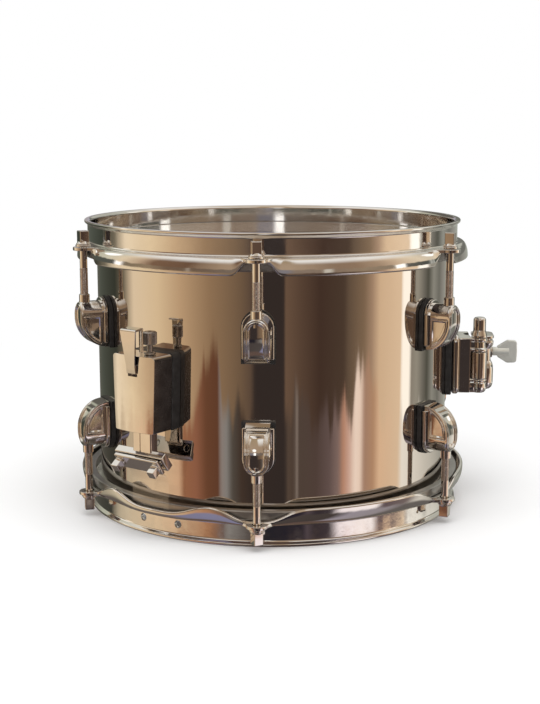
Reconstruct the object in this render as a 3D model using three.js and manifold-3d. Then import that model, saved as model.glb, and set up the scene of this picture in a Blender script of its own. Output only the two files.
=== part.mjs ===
// Auxiliary snare drum, 10 x 7 inch, with a polished metal shell, triple-flanged hoops and twelve small lugs.
// Millimetres. The finished group has +Z up, the batter head's centre at the origin, the tom bracket on +X
// and one pair of lugs on -Y. While it is built, z = 0 is the shell's mid-height.
import * as THREE from "three";
import { mergeVertices } from "three/addons/utils/BufferGeometryUtils.js";
import Module from "manifold-3d";

const wasm = await Module();
wasm.setup();

// Shell
const SHELL_RADIUS = 127;
const SHELL_HEIGHT = 177.8;
const SHELL_WALL = 1.2;
const EDGE_CHAMFER = 1.4;
const EDGE_FLANGE = 6.5;
const FIT_GAP = 0.3;

// Drumheads
const FILM_THICKNESS = 0.3;
const FILM_OVERHANG = 1;
const FLESH_HOOP_CLEARANCE = 4.1;
const FLESH_HOOP_WIDTH = 5.5;
const FLESH_HOOP_HEIGHT = 6.5;
const FILM_SKIRT_HEIGHT = 5;

// Hoops
const HOOP_SHEET = 2.3;
const HOOP_WALL_CLEARANCE = 6.3;
const LIP_FLARE = 2.1;
const LIP_ABOVE_HEAD = 13;
const LIP_WIDTH = 2.8;
const LIP_THICKNESS = 1.6;
const LIP_FLARE_HEIGHT = 2.6;
const LEDGE_BELOW_HEAD = 2.5;
const COLLAR_CLEARANCE = 4.4;
const COLLAR_BEND = 1.4;
const COLLAR_DEPTH = 11.4;
const COLLAR_DEPTH_AT_EAR = 3;
const COLLAR_DEPTH_AT_GATE = 4.4;
const EAR_DIP_DEGREES = 6.5;
const GATE_DIP_DEGREES = 12.5;
const EAR_TIP_RADIUS = 7;
const EAR_ROOT_WIDTH = 21;
const EAR_HOLE_RADIUS = 3.4;
const GATE_DEGREES = -30.5;
const GATE_SLOT_WIDTH = 35;
const GATE_SLOT_RISE = 1.9;
const CORD_HOLE_RADIUS = 2.7;
const CORD_HOLE_SPACING = 29.6;
const CORD_HOLE_FROM_LIP = 10;
const HANGER_HOLE_RADIUS = 1.3;

// Lugs and their gaskets
const LUG_COUNT = 6;
const LUG_FACE_COVER = 4.8;
const LUG_WIDTH = 16.2;
const LUG_FACE_WIDTH = 14.1;
const LUG_HEIGHT = 31.6;
const LUG_BELOW_EDGE = 39.1;
const LUG_CORNER_RADIUS = 4;
const LUG_SWEEP_HEIGHT = 20;
const LUG_FACE_BEVEL = 1.6;
const LUG_PANEL_WIDTH = 10.2;
const LUG_PANEL_RECESS = 0.7;
const LUG_FLANGE_WIDTH = 20.9;
const LUG_FLANGE_HEIGHT = 31;
const LUG_FLANGE_THICKNESS = 3;
const LOWER_LUG_SHIFT = 2.3;
const GASKET_THICKNESS = 2.4;
const GASKET_MARGIN = 0.8;
const NECK_LENGTH = 4.8;
const NECK_BASE_RADIUS = 3.8;
const NECK_TIP_RADIUS = 3.6;
const NUT_BORE_RADIUS = 3.2;
const NUT_BORE_DEPTH = 22;

// Mounting screws, seen inside the shell
const SCREW_RADIUS = 2.2;
const SCREW_HOLE_RADIUS = 2.6;
const SCREW_HEAD_RADIUS = 4.4;
const SCREW_HEAD_HEIGHT = 2.6;

// Tension rods
const ROD_FROM_COLLAR = 2.5;
const ROD_SHANK_RADIUS = 2.6;
const ROD_THREAD_RADIUS = 2.85;
const ROD_THREAD_LENGTH = 34;
const ROD_LENGTH = 49;
const ROD_HEAD_SIZE = 6.4;
const ROD_HEAD_HEIGHT = 7;
const ROD_NECK_RADIUS = 3;
const ROD_FLANGE_RADIUS = 4.7;
const ROD_FLANGE_HEIGHT = 2.4;
const WASHER_RADIUS = 5.2;
const WASHER_HEIGHT = 1.4;

// Snare strainer
const STRAINER_DEGREES = -32.4;
const HOUSING_TOP_WIDTH = 36.6;
const HOUSING_BOTTOM_WIDTH = 32.8;
const HOUSING_HEIGHT = 50.7;
const HOUSING_ABOVE_EDGE = 60.7;
const STRAINER_BASE_THICKNESS = 6.4;
const HOUSING_DEPTH = 19.5;
const HOUSING_CROWN = 3.6;
const HOUSING_CORNER = 3;
const HOUSING_ROOF = 3;
const HOUSING_BACK_WALL = 6;
const HOUSING_SCREW_SPACING = 29;
const CHANNEL_WIDTH = 23;
const CHANNEL_DEPTH = 7.5;
const LEVER_OFFSET = 0.8;
const LEVER_SLOT_WIDTH = 8.4;
const LEVER_SLOT_ABOVE_PIVOT = 3.4;
const LEVER_SLOT_BELOW_PIVOT = 6.6;
const LEVER_PIVOT_FROM_TOP = 8.7;
const LEVER_PIVOT_FROM_FRONT = 2.9;
const LEVER_HUB_RADIUS = 2.6;
const LEVER_PIN_RADIUS = 1.3;
const LEVER_PIN_LENGTH = 14;
const LEVER_SHEET = 1.8;
const LEVER_TOP_WIDTH = 13.4;
const LEVER_FOOT_WIDTH = 7.4;
const LEVER_BLADE_LENGTH = 27;
const LEVER_TAIL = 3;
const LEVER_STANDOFF = 0.6;
const LEVER_LEAN = 2.4;
const LEVER_FOLD_DEPTH = 7;
const LEVER_TONGUE_WIDTH = 3.4;
const LEVER_TONGUE_LENGTH = 16;
const THUMB_OFFSET = 7.5;
const THUMB_RADIUS = 4.8;
const THUMB_HEIGHT = 8.8;
const THUMB_STANDOFF = 6.6;
const THUMB_BEVEL = 0.8;
const THUMB_SHAFT_RADIUS = 2;
const THUMB_COLLAR_RADIUS = 3.8;
const THUMB_COLLAR_HEIGHT = 1.4;
const THUMB_SHAFT_REACH = 18;
const SLIDE_TRAVEL = 5;
const SLIDE_BLOCK_HEIGHT = 36;
const STEM_OFFSET = 2;
const STEM_WIDTH = 16;
const STEM_LENGTH = 15;
const STRAP_WIDTH = 32;
const STRAP_THICKNESS = 0.4;
const CLAMP_TILT_DEGREES = 36;
const CLAMP_BELOW_HOUSING = 19.2;
const CLAMP_REACH = 9.6;
const CLAMP_LENGTH = 41.5;
const CLAMP_HEIGHT = 12;
const CLAMP_BAR_THICKNESS = 5.6;
const CLAMP_PLATE_THICKNESS = 2.6;
const CLAMP_PLATE_LENGTH = 37.4;
const CLAMP_SCREW_SPACING = 31.4;
const CLAMP_SCREW_RADIUS = 1.9;
const CLAMP_SCREW_HEAD = 5.6;
const CLAMP_SCREW_HEAD_HEIGHT = 6.5;

// Snares, their straps and the butt plate
const WIRE_COUNT = 14;
const WIRE_RADIUS = 0.9;
const WIRE_PITCH = 3.9;
const WIRE_SIDES = 4;
const WIRE_END_CLEARANCE = 29;
const PLATE_WIDTH = 58;
const PLATE_DEPTH = 12;
const PLATE_THICKNESS = 0.9;
const STRAP_LAP = 9;
const BUTT_DEPTH = 7.2;
const BUTT_ABOVE_EDGE = 39.3;

// Tom bracket
const BRACKET_WIDTH = 36;
const BRACKET_HEIGHT = 44.7;
const BRACKET_TOP_FROM_MIDDLE = 20.1;
const BRACKET_PLATE_THICKNESS = 5;
const BRACKET_GASKET_THICKNESS = 3.3;
const BRACKET_BLOCK_WIDTH = 32;
const BRACKET_BLOCK_DEPTH = 8.4;
const BRACKET_CORNER = 5;
const BRACKET_PLATE_INSET = 0.7;
const BRACKET_SCREW_SPACING = 26;
const JAW_TOP_DROP = 2.6;
const JAW_HEIGHT = 40;
const JAW_GAP = 2;
const JAW_DEPTH = 15.6;
const JAW_OVERHANG = 1.4;
const TOM_ROD_RADIUS = 5.3;
const TOM_ROD_OFFSET = 3.5;
const KNUCKLE_RADIUS = 5.8;
const KNUCKLE_OFFSET = -11.5;
const KNUCKLE_REACH = 6;
const KNUCKLE_HEIGHT = 10;
const PIVOT_RADIUS = 2.6;
const PIVOT_HEAD_RADIUS = 4.9;
const PIVOT_HEAD_HEIGHT = 14.5;
const WING_OFFSET = 12.5;
const WING_ABOVE_MIDDLE = 3.4;
const WING_SHAFT_RADIUS = 2.3;
const WING_HUB_RADIUS = 3.2;
const WING_HUB_LENGTH = 7;
const WING_LENGTH = 11;
const WING_SPAN = 17;
const WING_ROOT_SPAN = 9;
const WING_THICKNESS = 3.6;

// Places that follow from the sizes
const OVERRUN = 5;
const RING_STEPS = 60;
const ROUND_STEPS = 12;
const SMALL_ROUND_STEPS = 8;
const ARCH_STEPS = 5;
const CORNER_STEPS = 2;
const SWEEP_STEPS = 3;
const HALF_SHELL = SHELL_HEIGHT / 2;
const LUG_END_FROM_MIDDLE = HALF_SHELL - LUG_BELOW_EDGE;
const HOUSING_BOTTOM = HOUSING_ABOVE_EDGE - HALF_SHELL;
const HOUSING_TOP_FROM_MIDDLE = HOUSING_BOTTOM + HOUSING_HEIGHT;
const HEAD_TOP = HALF_SHELL + FIT_GAP + FILM_THICKNESS;
const LIP_TOP = HEAD_TOP + LIP_ABOVE_HEAD;
const LEDGE_TOP = HEAD_TOP - LEDGE_BELOW_HEAD;
const LEDGE_UNDER = LEDGE_TOP - HOOP_SHEET;
const FLESH_HOOP_INNER_RADIUS = SHELL_RADIUS + FLESH_HOOP_CLEARANCE;
const FLESH_HOOP_OUTER_RADIUS = FLESH_HOOP_INNER_RADIUS + FLESH_HOOP_WIDTH;
const HOOP_WALL_RADIUS = SHELL_RADIUS + HOOP_WALL_CLEARANCE;
const LIP_RADIUS = HOOP_WALL_RADIUS + LIP_FLARE;
const COLLAR_RADIUS = FLESH_HOOP_OUTER_RADIUS + COLLAR_CLEARANCE;
const ROD_CIRCLE_RADIUS = COLLAR_RADIUS + ROD_FROM_COLLAR;
const HOOP_INNER_RADIUS = HOOP_WALL_RADIUS - HOOP_SHEET;
const COLLAR_INNER_RADIUS = COLLAR_RADIUS - HOOP_SHEET;
const FLESH_TOP = LEDGE_UNDER - FIT_GAP;
const SEAT_RADIUS = SHELL_RADIUS + FIT_GAP;
const LUG_SEAT = SEAT_RADIUS + GASKET_THICKNESS + FIT_GAP;
const LUG_FACE = ROD_CIRCLE_RADIUS + LUG_FACE_COVER;
const LUG_DEPTH = LUG_FACE - LUG_SEAT;
const LUG_FLANGE_OVERLAP = (LUG_FLANGE_WIDTH - LUG_WIDTH) / 2;
const STRAINER_SEAT = SEAT_RADIUS + STRAINER_BASE_THICKNESS + FIT_GAP;
const LUG_SPACING_DEGREES = 360 / LUG_COUNT;
const SHELL_INNER_RADIUS = SHELL_RADIUS - SHELL_WALL;
const WIRE_SPAN = (SHELL_RADIUS - WIRE_END_CLEARANCE) * 2;
const STRAP_ROUTE_RADIUS = FLESH_HOOP_OUTER_RADIUS + FIT_GAP + STRAP_THICKNESS / 2;

// Materials
const chrome = () => new THREE.MeshStandardMaterial({ color: 0xc9c4be, roughness: 0.08, metalness: 1 });
const shellPlate = () => new THREE.MeshStandardMaterial({ color: 0xa89c92, roughness: 0.05, metalness: 1 });
const rubber = () => new THREE.MeshStandardMaterial({ color: 0x141313, roughness: 0.7, metalness: 0 });
const clearFilm = () => new THREE.MeshStandardMaterial({ color: 0xdfe3e4, roughness: 0.15, metalness: 0 });
const aluminium = () => new THREE.MeshStandardMaterial({ color: 0xb4b6b8, roughness: 0.3, metalness: 1 });
const knurledSteel = () => new THREE.MeshStandardMaterial({ color: 0x6f6a68, roughness: 0.4, metalness: 1 });
const snareSteel = () => new THREE.MeshStandardMaterial({ color: 0xa9a9a6, roughness: 0.25, metalness: 1 });

// Solids
const radians = THREE.MathUtils.degToRad;

function solid(geometry) {
  const bare = geometry.clone();
  bare.deleteAttribute("normal");
  bare.deleteAttribute("uv");
  const merged = mergeVertices(bare);
  const mesh = new wasm.Mesh({
    numProp: 3,
    vertProperties: Float32Array.from(merged.attributes.position.array),
    triVerts: Uint32Array.from(merged.index.array),
  });
  return new wasm.Manifold(mesh);
}

function piece(name, body, material) {
  const mesh = body.getMesh();
  const geometry = new THREE.BufferGeometry();
  geometry.setAttribute("position", new THREE.BufferAttribute(mesh.vertProperties, 3));
  geometry.setIndex(new THREE.BufferAttribute(mesh.triVerts, 1));
  const flat = geometry.toNonIndexed();
  flat.computeVertexNormals();
  const result = new THREE.Mesh(flat, material);
  result.name = name;
  return result;
}

const joined = (...bodies) => bodies.reduce((all, body) => all.add(body));
const cutAway = (body, ...tools) => tools.reduce((left, tool) => left.subtract(tool), body);

// A profile of [radius, height] pairs, listed anticlockwise, turned about Z.
function turned(profile, steps) {
  const points = profile.map(([radius, height]) => new THREE.Vector2(radius, height));
  return solid(new THREE.LatheGeometry(points, steps).rotateX(Math.PI / 2));
}

const closed = (profile) => [...profile, profile[0]];

function outline(points) {
  return new THREE.Shape(points.map(([x, y]) => new THREE.Vector2(x, y)));
}

function prism(shape, length, curveSegments = ROUND_STEPS) {
  return new THREE.ExtrudeGeometry(shape, { depth: length, bevelEnabled: false, curveSegments });
}

// A shape drawn on (tangent, height), extruded outwards from a radius.
function outwardPrism(shape, from, length, curveSegments) {
  const turn = new THREE.Matrix4().makeBasis(
    new THREE.Vector3(0, 1, 0),
    new THREE.Vector3(0, 0, 1),
    new THREE.Vector3(1, 0, 0),
  );
  return solid(prism(shape, length, curveSegments).applyMatrix4(turn).translate(from, 0, 0));
}

// A shape drawn on (radius, height), centred on a tangential offset.
function sidePrism(shape, width, offset = 0, curveSegments) {
  return solid(prism(shape, width, curveSegments).rotateX(Math.PI / 2).translate(0, offset + width / 2, 0));
}

// A shape drawn on (radius, tangent), extruded upwards from a height.
function uprightPrism(shape, bottom, height, curveSegments) {
  return solid(prism(shape, height, curveSegments).translate(0, 0, bottom));
}

function block(size, centre) {
  return solid(new THREE.BoxGeometry(...size).translate(...centre));
}

function uprightRound(radius, bottom, height, x, y, steps = ROUND_STEPS, topRadius = radius) {
  const round = new THREE.CylinderGeometry(topRadius, radius, height, steps);
  return solid(round.rotateX(Math.PI / 2).translate(x, y, bottom + height / 2));
}

function outwardRound(radius, from, length, y, z, steps = SMALL_ROUND_STEPS) {
  const round = new THREE.CylinderGeometry(radius, radius, length, steps);
  return solid(round.rotateZ(Math.PI / 2).translate(from + length / 2, y, z));
}

function sidewaysRound(radius, length, x, y, z, steps = ROUND_STEPS) {
  return solid(new THREE.CylinderGeometry(radius, radius, length, steps).translate(x, y, z));
}

const turnedAbout = (body, degrees) => body.rotate([0, 0, degrees]);

// A box outline with rounded corners, drawn on any pair of axes.
function roundedBox(left, bottom, width, height, corner) {
  const right = left + width;
  const top = bottom + height;
  const shape = new THREE.Shape();
  shape.moveTo(left + corner, bottom);
  shape.lineTo(right - corner, bottom);
  shape.absarc(right - corner, bottom + corner, corner, -Math.PI / 2, 0, false);
  shape.lineTo(right, top - corner);
  shape.absarc(right - corner, top - corner, corner, 0, Math.PI / 2, false);
  shape.lineTo(left + corner, top);
  shape.absarc(left + corner, top - corner, corner, Math.PI / 2, Math.PI, false);
  shape.lineTo(left, bottom + corner);
  shape.absarc(left + corner, bottom + corner, corner, Math.PI, Math.PI * 1.5, false);
  return shape;
}

// An outline with a half-round top, for lugs and gaskets.
function arch(width, bottom, top) {
  const radius = width / 2;
  const shape = new THREE.Shape();
  shape.moveTo(-radius, bottom);
  shape.lineTo(radius, bottom);
  shape.lineTo(radius, top - radius);
  shape.absarc(0, top - radius, radius, 0, Math.PI, false);
  return shape;
}

// The round space that the shell fills, used to cut the backs of what seats on it.
function shellSpace() {
  const half = HALF_SHELL - EDGE_CHAMFER;
  return turned([[0, -half], [SEAT_RADIUS, -half], [SEAT_RADIUS, half], [0, half]], RING_STEPS);
}

// A screw from inside the shell, with its hexagonal head against the wall.
function mountingScrew(to, y, z) {
  const head = SHELL_INNER_RADIUS - FIT_GAP - SCREW_HEAD_HEIGHT;
  const wallDrop = SHELL_INNER_RADIUS - Math.sqrt(SHELL_INNER_RADIUS ** 2 - y ** 2);
  const start = head - wallDrop * 2;
  return joined(
    outwardRound(SCREW_RADIUS, start, to - start + FIT_GAP, y, z, SMALL_ROUND_STEPS),
    outwardRound(SCREW_HEAD_RADIUS, start, SCREW_HEAD_HEIGHT, y, z, 6),
  );
}

const screwHole = (degrees, y, z) => {
  const length = OVERRUN * 2 + SHELL_WALL;
  return turnedAbout(outwardRound(SCREW_HOLE_RADIUS, SHELL_INNER_RADIUS - OVERRUN, length, y, z), degrees);
};

// Azimuths are counted from the front (-Y), towards the bracket (+X).
const FRONT = -90;
const lugDegrees = [...Array(LUG_COUNT).keys()].map((index) => index * LUG_SPACING_DEGREES);
const BRACKET_DEGREES = 90;
const BUTT_DEGREES = STRAINER_DEGREES + 180;
const LUG_SCREW_HEIGHT = LUG_END_FROM_MIDDLE - LUG_HEIGHT / 2;
const HOUSING_MIDDLE = HOUSING_TOP_FROM_MIDDLE - HOUSING_HEIGHT / 2;
const BRACKET_MIDDLE = BRACKET_TOP_FROM_MIDDLE - BRACKET_HEIGHT / 2;
const BUTT_SCREW_SPACING = CLAMP_LENGTH * 0.5;
const BUTT_MIDDLE = BUTT_ABOVE_EDGE - HALF_SHELL;

function shell() {
  const crown = SHELL_RADIUS - EDGE_CHAMFER;
  const tip = crown - EDGE_FLANGE;
  const slant = SHELL_WALL * Math.SQRT2;
  const inner = SHELL_INNER_RADIUS;
  const upper = [
    [SHELL_RADIUS, HALF_SHELL - EDGE_CHAMFER],
    [crown, HALF_SHELL],
    [tip, HALF_SHELL - EDGE_FLANGE],
    [tip, HALF_SHELL - EDGE_FLANGE - slant],
    [inner, HALF_SHELL - slant + EDGE_CHAMFER - SHELL_WALL],
  ];
  const lower = upper.map(([radius, height]) => [radius, -height]).reverse();
  const wall = turned(closed([...upper, ...lower]), RING_STEPS);
  const lugHoles = lugDegrees.flatMap((degrees) => [
    screwHole(degrees + FRONT, 0, LUG_SCREW_HEIGHT),
    screwHole(degrees + FRONT, 0, -LUG_SCREW_HEIGHT - LOWER_LUG_SHIFT),
  ]);
  const pair = (degrees, spacing, middle, upright) =>
    [-spacing / 2, spacing / 2].map((offset) =>
      upright ? screwHole(degrees, 0, middle + offset) : screwHole(degrees, offset, middle),
    );
  return cutAway(
    wall,
    ...lugHoles,
    ...pair(STRAINER_DEGREES + FRONT, HOUSING_SCREW_SPACING, HOUSING_MIDDLE, false),
    ...pair(BUTT_DEGREES + FRONT, BUTT_SCREW_SPACING, BUTT_MIDDLE, false),
    ...pair(BRACKET_DEGREES + FRONT, BRACKET_SCREW_SPACING, BRACKET_MIDDLE, true),
  );
}

// Film of a head: flat over the bearing edge, then sloping down into the flesh hoop.
function headFilm() {
  const flat = SHELL_RADIUS - EDGE_CHAMFER + FILM_OVERHANG;
  const foot = FLESH_HOOP_INNER_RADIUS - FIT_GAP;
  const footHeight = HEAD_TOP - FILM_SKIRT_HEIGHT - FIT_GAP;
  return turned(
    [
      [0, HEAD_TOP - FILM_THICKNESS],
      [flat - FILM_THICKNESS, HEAD_TOP - FILM_THICKNESS],
      [foot - FILM_THICKNESS, footHeight],
      [foot, footHeight],
      [flat, HEAD_TOP],
      [0, HEAD_TOP],
    ],
    RING_STEPS,
  );
}

function fleshHoop() {
  const bottom = FLESH_TOP - FLESH_HOOP_HEIGHT;
  return turned(
    closed([
      [FLESH_HOOP_INNER_RADIUS, bottom],
      [FLESH_HOOP_OUTER_RADIUS, bottom],
      [FLESH_HOOP_OUTER_RADIUS, FLESH_TOP],
      [FLESH_HOOP_INNER_RADIUS, FLESH_TOP],
    ]),
    RING_STEPS,
  );
}

// Angle between two azimuths, from 0 to 180 degrees.
function apart(a, b) {
  const turn = Math.abs(a - b) % 360;
  return Math.min(turn, 360 - turn);
}

// Depth of the hoop's outer collar: full between the rods, drawn up at each ear and at the snare gates.
function collarDepth(degrees, gates) {
  const fromEar = Math.min(...lugDegrees.map((lug) => apart(degrees, lug)));
  const earDip = (COLLAR_DEPTH - COLLAR_DEPTH_AT_EAR) * Math.exp(-((fromEar / EAR_DIP_DEGREES) ** 2));
  const fromGate = Math.min(180, ...gates.map((gate) => apart(degrees, gate)));
  const gateDip = (COLLAR_DEPTH - COLLAR_DEPTH_AT_GATE) * Math.exp(-((fromGate / GATE_DIP_DEGREES) ** 4));
  return COLLAR_DEPTH - Math.max(earDip, gateDip);
}

function hoopSection(depth) {
  return [
    [HOOP_INNER_RADIUS, LEDGE_UNDER],
    [COLLAR_INNER_RADIUS, LEDGE_UNDER],
    [COLLAR_INNER_RADIUS, LEDGE_TOP - depth],
    [COLLAR_RADIUS, LEDGE_TOP - depth],
    [COLLAR_RADIUS, LEDGE_TOP - COLLAR_BEND],
    [COLLAR_RADIUS - COLLAR_BEND, LEDGE_TOP],
    [HOOP_WALL_RADIUS, LEDGE_TOP],
    [HOOP_WALL_RADIUS, LIP_TOP - LIP_FLARE_HEIGHT - LIP_THICKNESS / 2],
    [LIP_RADIUS, LIP_TOP - LIP_THICKNESS],
    [LIP_RADIUS, LIP_TOP],
    [LIP_RADIUS - LIP_WIDTH, LIP_TOP],
    [HOOP_INNER_RADIUS, LIP_TOP - LIP_FLARE_HEIGHT],
  ];
}

// A closed ring whose section changes from step to step.
function sweptRing(sectionAt) {
  const positions = [];
  const faces = [];
  const size = sectionAt(0).length;
  for (let step = 0; step < RING_STEPS; step += 1) {
    const degrees = (step * 360) / RING_STEPS;
    const turn = radians(degrees + FRONT);
    const next = ((step + 1) % RING_STEPS) * size;
    sectionAt(degrees).forEach(([radius, height], index) => {
      positions.push(radius * Math.cos(turn), radius * Math.sin(turn), height);
      const a = step * size + index;
      const b = step * size + ((index + 1) % size);
      const c = next + ((index + 1) % size);
      const d = next + index;
      faces.push(a, c, b, a, d, c);
    });
  }
  const geometry = new THREE.BufferGeometry();
  geometry.setAttribute("position", new THREE.Float32BufferAttribute(positions, 3));
  geometry.setIndex(faces);
  return solid(geometry);
}

// One ear: a tongue of the ledge that carries a tension rod.
function ear() {
  const root = COLLAR_INNER_RADIUS;
  const bend = COLLAR_RADIUS;
  const half = EAR_ROOT_WIDTH / 2;
  const waist = (half + EAR_TIP_RADIUS) / 2;
  const shape = new THREE.Shape();
  shape.moveTo(root, -half);
  shape.quadraticCurveTo(bend, -waist, ROD_CIRCLE_RADIUS, -EAR_TIP_RADIUS);
  shape.absarc(ROD_CIRCLE_RADIUS, 0, EAR_TIP_RADIUS, -Math.PI / 2, Math.PI / 2, false);
  shape.quadraticCurveTo(bend, waist, root, half);
  return uprightPrism(shape, LEDGE_UNDER, HOOP_SHEET, SWEEP_STEPS);
}

// A hoop as it sits on the batter side; gates and straps list the azimuths of its snare gates and their straps.
function hoop(gates, straps, hangerDegrees) {
  const ring = sweptRing((degrees) => hoopSection(collarDepth(degrees, gates)));
  const ears = lugDegrees.map((degrees) => turnedAbout(ear(), degrees + FRONT));
  const holeBottom = LEDGE_UNDER - OVERRUN;
  const holeLength = HOOP_SHEET + OVERRUN * 2;
  const rodHoles = lugDegrees.map((degrees) =>
    turnedAbout(uprightRound(EAR_HOLE_RADIUS, holeBottom, holeLength, ROD_CIRCLE_RADIUS, 0), degrees + FRONT),
  );
  const wallHole = (radius, degrees, y) => {
    const through = outwardRound(radius, HOOP_INNER_RADIUS - OVERRUN, OVERRUN * 2, y, LIP_TOP - CORD_HOLE_FROM_LIP);
    return turnedAbout(through, degrees + FRONT);
  };
  const strapCuts = straps.map((strap) => {
    const slotBottom = LEDGE_UNDER - FIT_GAP;
    const slotHeight = LEDGE_TOP + GATE_SLOT_RISE - slotBottom;
    const slotDepth = COLLAR_INNER_RADIUS - HOOP_INNER_RADIUS + OVERRUN;
    const slotMiddle = COLLAR_INNER_RADIUS - slotDepth / 2;
    const slot = block([slotDepth, GATE_SLOT_WIDTH, slotHeight], [slotMiddle, 0, slotBottom + slotHeight / 2]);
    const relief = block(
      [STRAP_THICKNESS + FIT_GAP * 2, STRAP_WIDTH + FIT_GAP * 2, COLLAR_DEPTH * 2],
      [STRAP_ROUTE_RADIUS, 0, LEDGE_UNDER - COLLAR_DEPTH + FIT_GAP],
    );
    return turnedAbout(slot.add(relief), strap + FRONT);
  });
  const cordHoles = gates.flatMap((gate) => [
    wallHole(CORD_HOLE_RADIUS, gate, -CORD_HOLE_SPACING / 2),
    wallHole(CORD_HOLE_RADIUS, gate, CORD_HOLE_SPACING / 2),
  ]);
  const hangers = hangerDegrees.map((degrees) => wallHole(HANGER_HOLE_RADIUS, degrees, 0));
  return cutAway(joined(ring, ...ears), ...rodHoles, ...strapCuts, ...cordHoles, ...hangers);
}

// Lug: an arched nose whose face sweeps back to the shell, with a sunk panel, on a wider arched flange.
function lug(shift) {
  const top = LUG_END_FROM_MIDDLE;
  const bottom = top - LUG_HEIGHT;
  const sweepTop = bottom + LUG_SWEEP_HEIGHT;
  const side = new THREE.Shape();
  side.moveTo(LUG_SEAT, bottom);
  side.absellipse(LUG_SEAT, sweepTop, LUG_DEPTH, LUG_SWEEP_HEIGHT, -Math.PI / 2, 0, false, 0);
  side.lineTo(LUG_FACE, top - LUG_CORNER_RADIUS);
  side.absarc(LUG_FACE - LUG_CORNER_RADIUS, top - LUG_CORNER_RADIUS, LUG_CORNER_RADIUS, 0, Math.PI / 2, false);
  side.lineTo(LUG_SEAT, top);
  const plan = outline([
    [LUG_SEAT, -LUG_WIDTH / 2],
    [LUG_FACE - LUG_FACE_BEVEL, -LUG_WIDTH / 2],
    [LUG_FACE, -LUG_FACE_WIDTH / 2],
    [LUG_FACE, LUG_FACE_WIDTH / 2],
    [LUG_FACE - LUG_FACE_BEVEL, LUG_WIDTH / 2],
    [LUG_SEAT, LUG_WIDTH / 2],
  ]);
  const profile = sidePrism(side, LUG_WIDTH + OVERRUN, 0, SWEEP_STEPS);
  const nose = outwardPrism(arch(LUG_WIDTH, bottom, top), LUG_SEAT, LUG_DEPTH, ARCH_STEPS)
    .intersect(profile)
    .intersect(uprightPrism(plan, bottom - OVERRUN, LUG_HEIGHT + OVERRUN * 2));
  const border = (LUG_WIDTH - LUG_PANEL_WIDTH) / 2;
  const panel = outwardPrism(
    arch(LUG_PANEL_WIDTH, bottom + border * 2, top - border),
    LUG_SEAT + LUG_FLANGE_THICKNESS,
    LUG_DEPTH,
    CORNER_STEPS,
  ).subtract(profile.translate([-LUG_PANEL_RECESS, 0, 0]));
  const flangeTop = top + LUG_FLANGE_OVERLAP;
  const flange = outwardPrism(
    arch(LUG_FLANGE_WIDTH, flangeTop - LUG_FLANGE_HEIGHT, flangeTop),
    LUG_SEAT,
    LUG_FLANGE_THICKNESS,
    ARCH_STEPS,
  );
  const neckBottom = top - LUG_CORNER_RADIUS;
  const neckHeight = NECK_LENGTH + LUG_CORNER_RADIUS;
  const neck = uprightRound(
    NECK_BASE_RADIUS, neckBottom, neckHeight, ROD_CIRCLE_RADIUS, 0, SMALL_ROUND_STEPS, NECK_TIP_RADIUS,
  );
  const boreLength = NUT_BORE_DEPTH + OVERRUN;
  const boreBottom = top + NECK_LENGTH - NUT_BORE_DEPTH;
  const bore = uprightRound(NUT_BORE_RADIUS, boreBottom, boreLength, ROD_CIRCLE_RADIUS, 0, SMALL_ROUND_STEPS);
  const body = cutAway(joined(nose.subtract(panel), flange, neck), bore);
  return joined(body, mountingScrew(LUG_SEAT, 0, LUG_SCREW_HEIGHT)).translate([0, 0, shift]);
}

function lugGasket(shift) {
  const top = LUG_END_FROM_MIDDLE + LUG_FLANGE_OVERLAP + GASKET_MARGIN;
  const bottom = LUG_END_FROM_MIDDLE - LUG_HEIGHT - GASKET_MARGIN / 2;
  const from = SHELL_RADIUS - OVERRUN;
  const pad = outwardPrism(
    arch(LUG_FLANGE_WIDTH + GASKET_MARGIN * 2, bottom, top),
    from,
    LUG_SEAT - FIT_GAP - from,
    ARCH_STEPS,
  );
  const hole = outwardRound(SCREW_HOLE_RADIUS, from, OVERRUN * 3, 0, LUG_SCREW_HEIGHT);
  return cutAway(pad.translate([0, 0, shift]), shellSpace(), hole.translate([0, 0, shift]));
}

// Tension rod: threaded end in the lug, washer and flange on the ear, square key head on top.
function tensionRod() {
  const seat = LEDGE_TOP + FIT_GAP;
  const flangeBottom = seat + WASHER_HEIGHT;
  const headBottom = flangeBottom + ROD_FLANGE_HEIGHT;
  const end = seat - ROD_LENGTH;
  const threadTop = end + ROD_THREAD_LENGTH;
  const stem = turned(
    [
      [0, end],
      [ROD_THREAD_RADIUS, end],
      [ROD_THREAD_RADIUS, threadTop],
      [ROD_SHANK_RADIUS, threadTop],
      [ROD_SHANK_RADIUS, seat],
      [WASHER_RADIUS, seat],
      [WASHER_RADIUS, flangeBottom],
      [ROD_FLANGE_RADIUS, flangeBottom],
      [ROD_NECK_RADIUS, headBottom],
      [0, headBottom],
    ],
    SMALL_ROUND_STEPS,
  );
  const lap = ROD_FLANGE_HEIGHT / 2;
  const headHeight = ROD_HEAD_HEIGHT + lap;
  const head = block([ROD_HEAD_SIZE, ROD_HEAD_SIZE, headHeight], [0, 0, headBottom - lap + headHeight / 2]);
  return joined(stem, head).translate([ROD_CIRCLE_RADIUS, 0, 0]);
}

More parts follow.
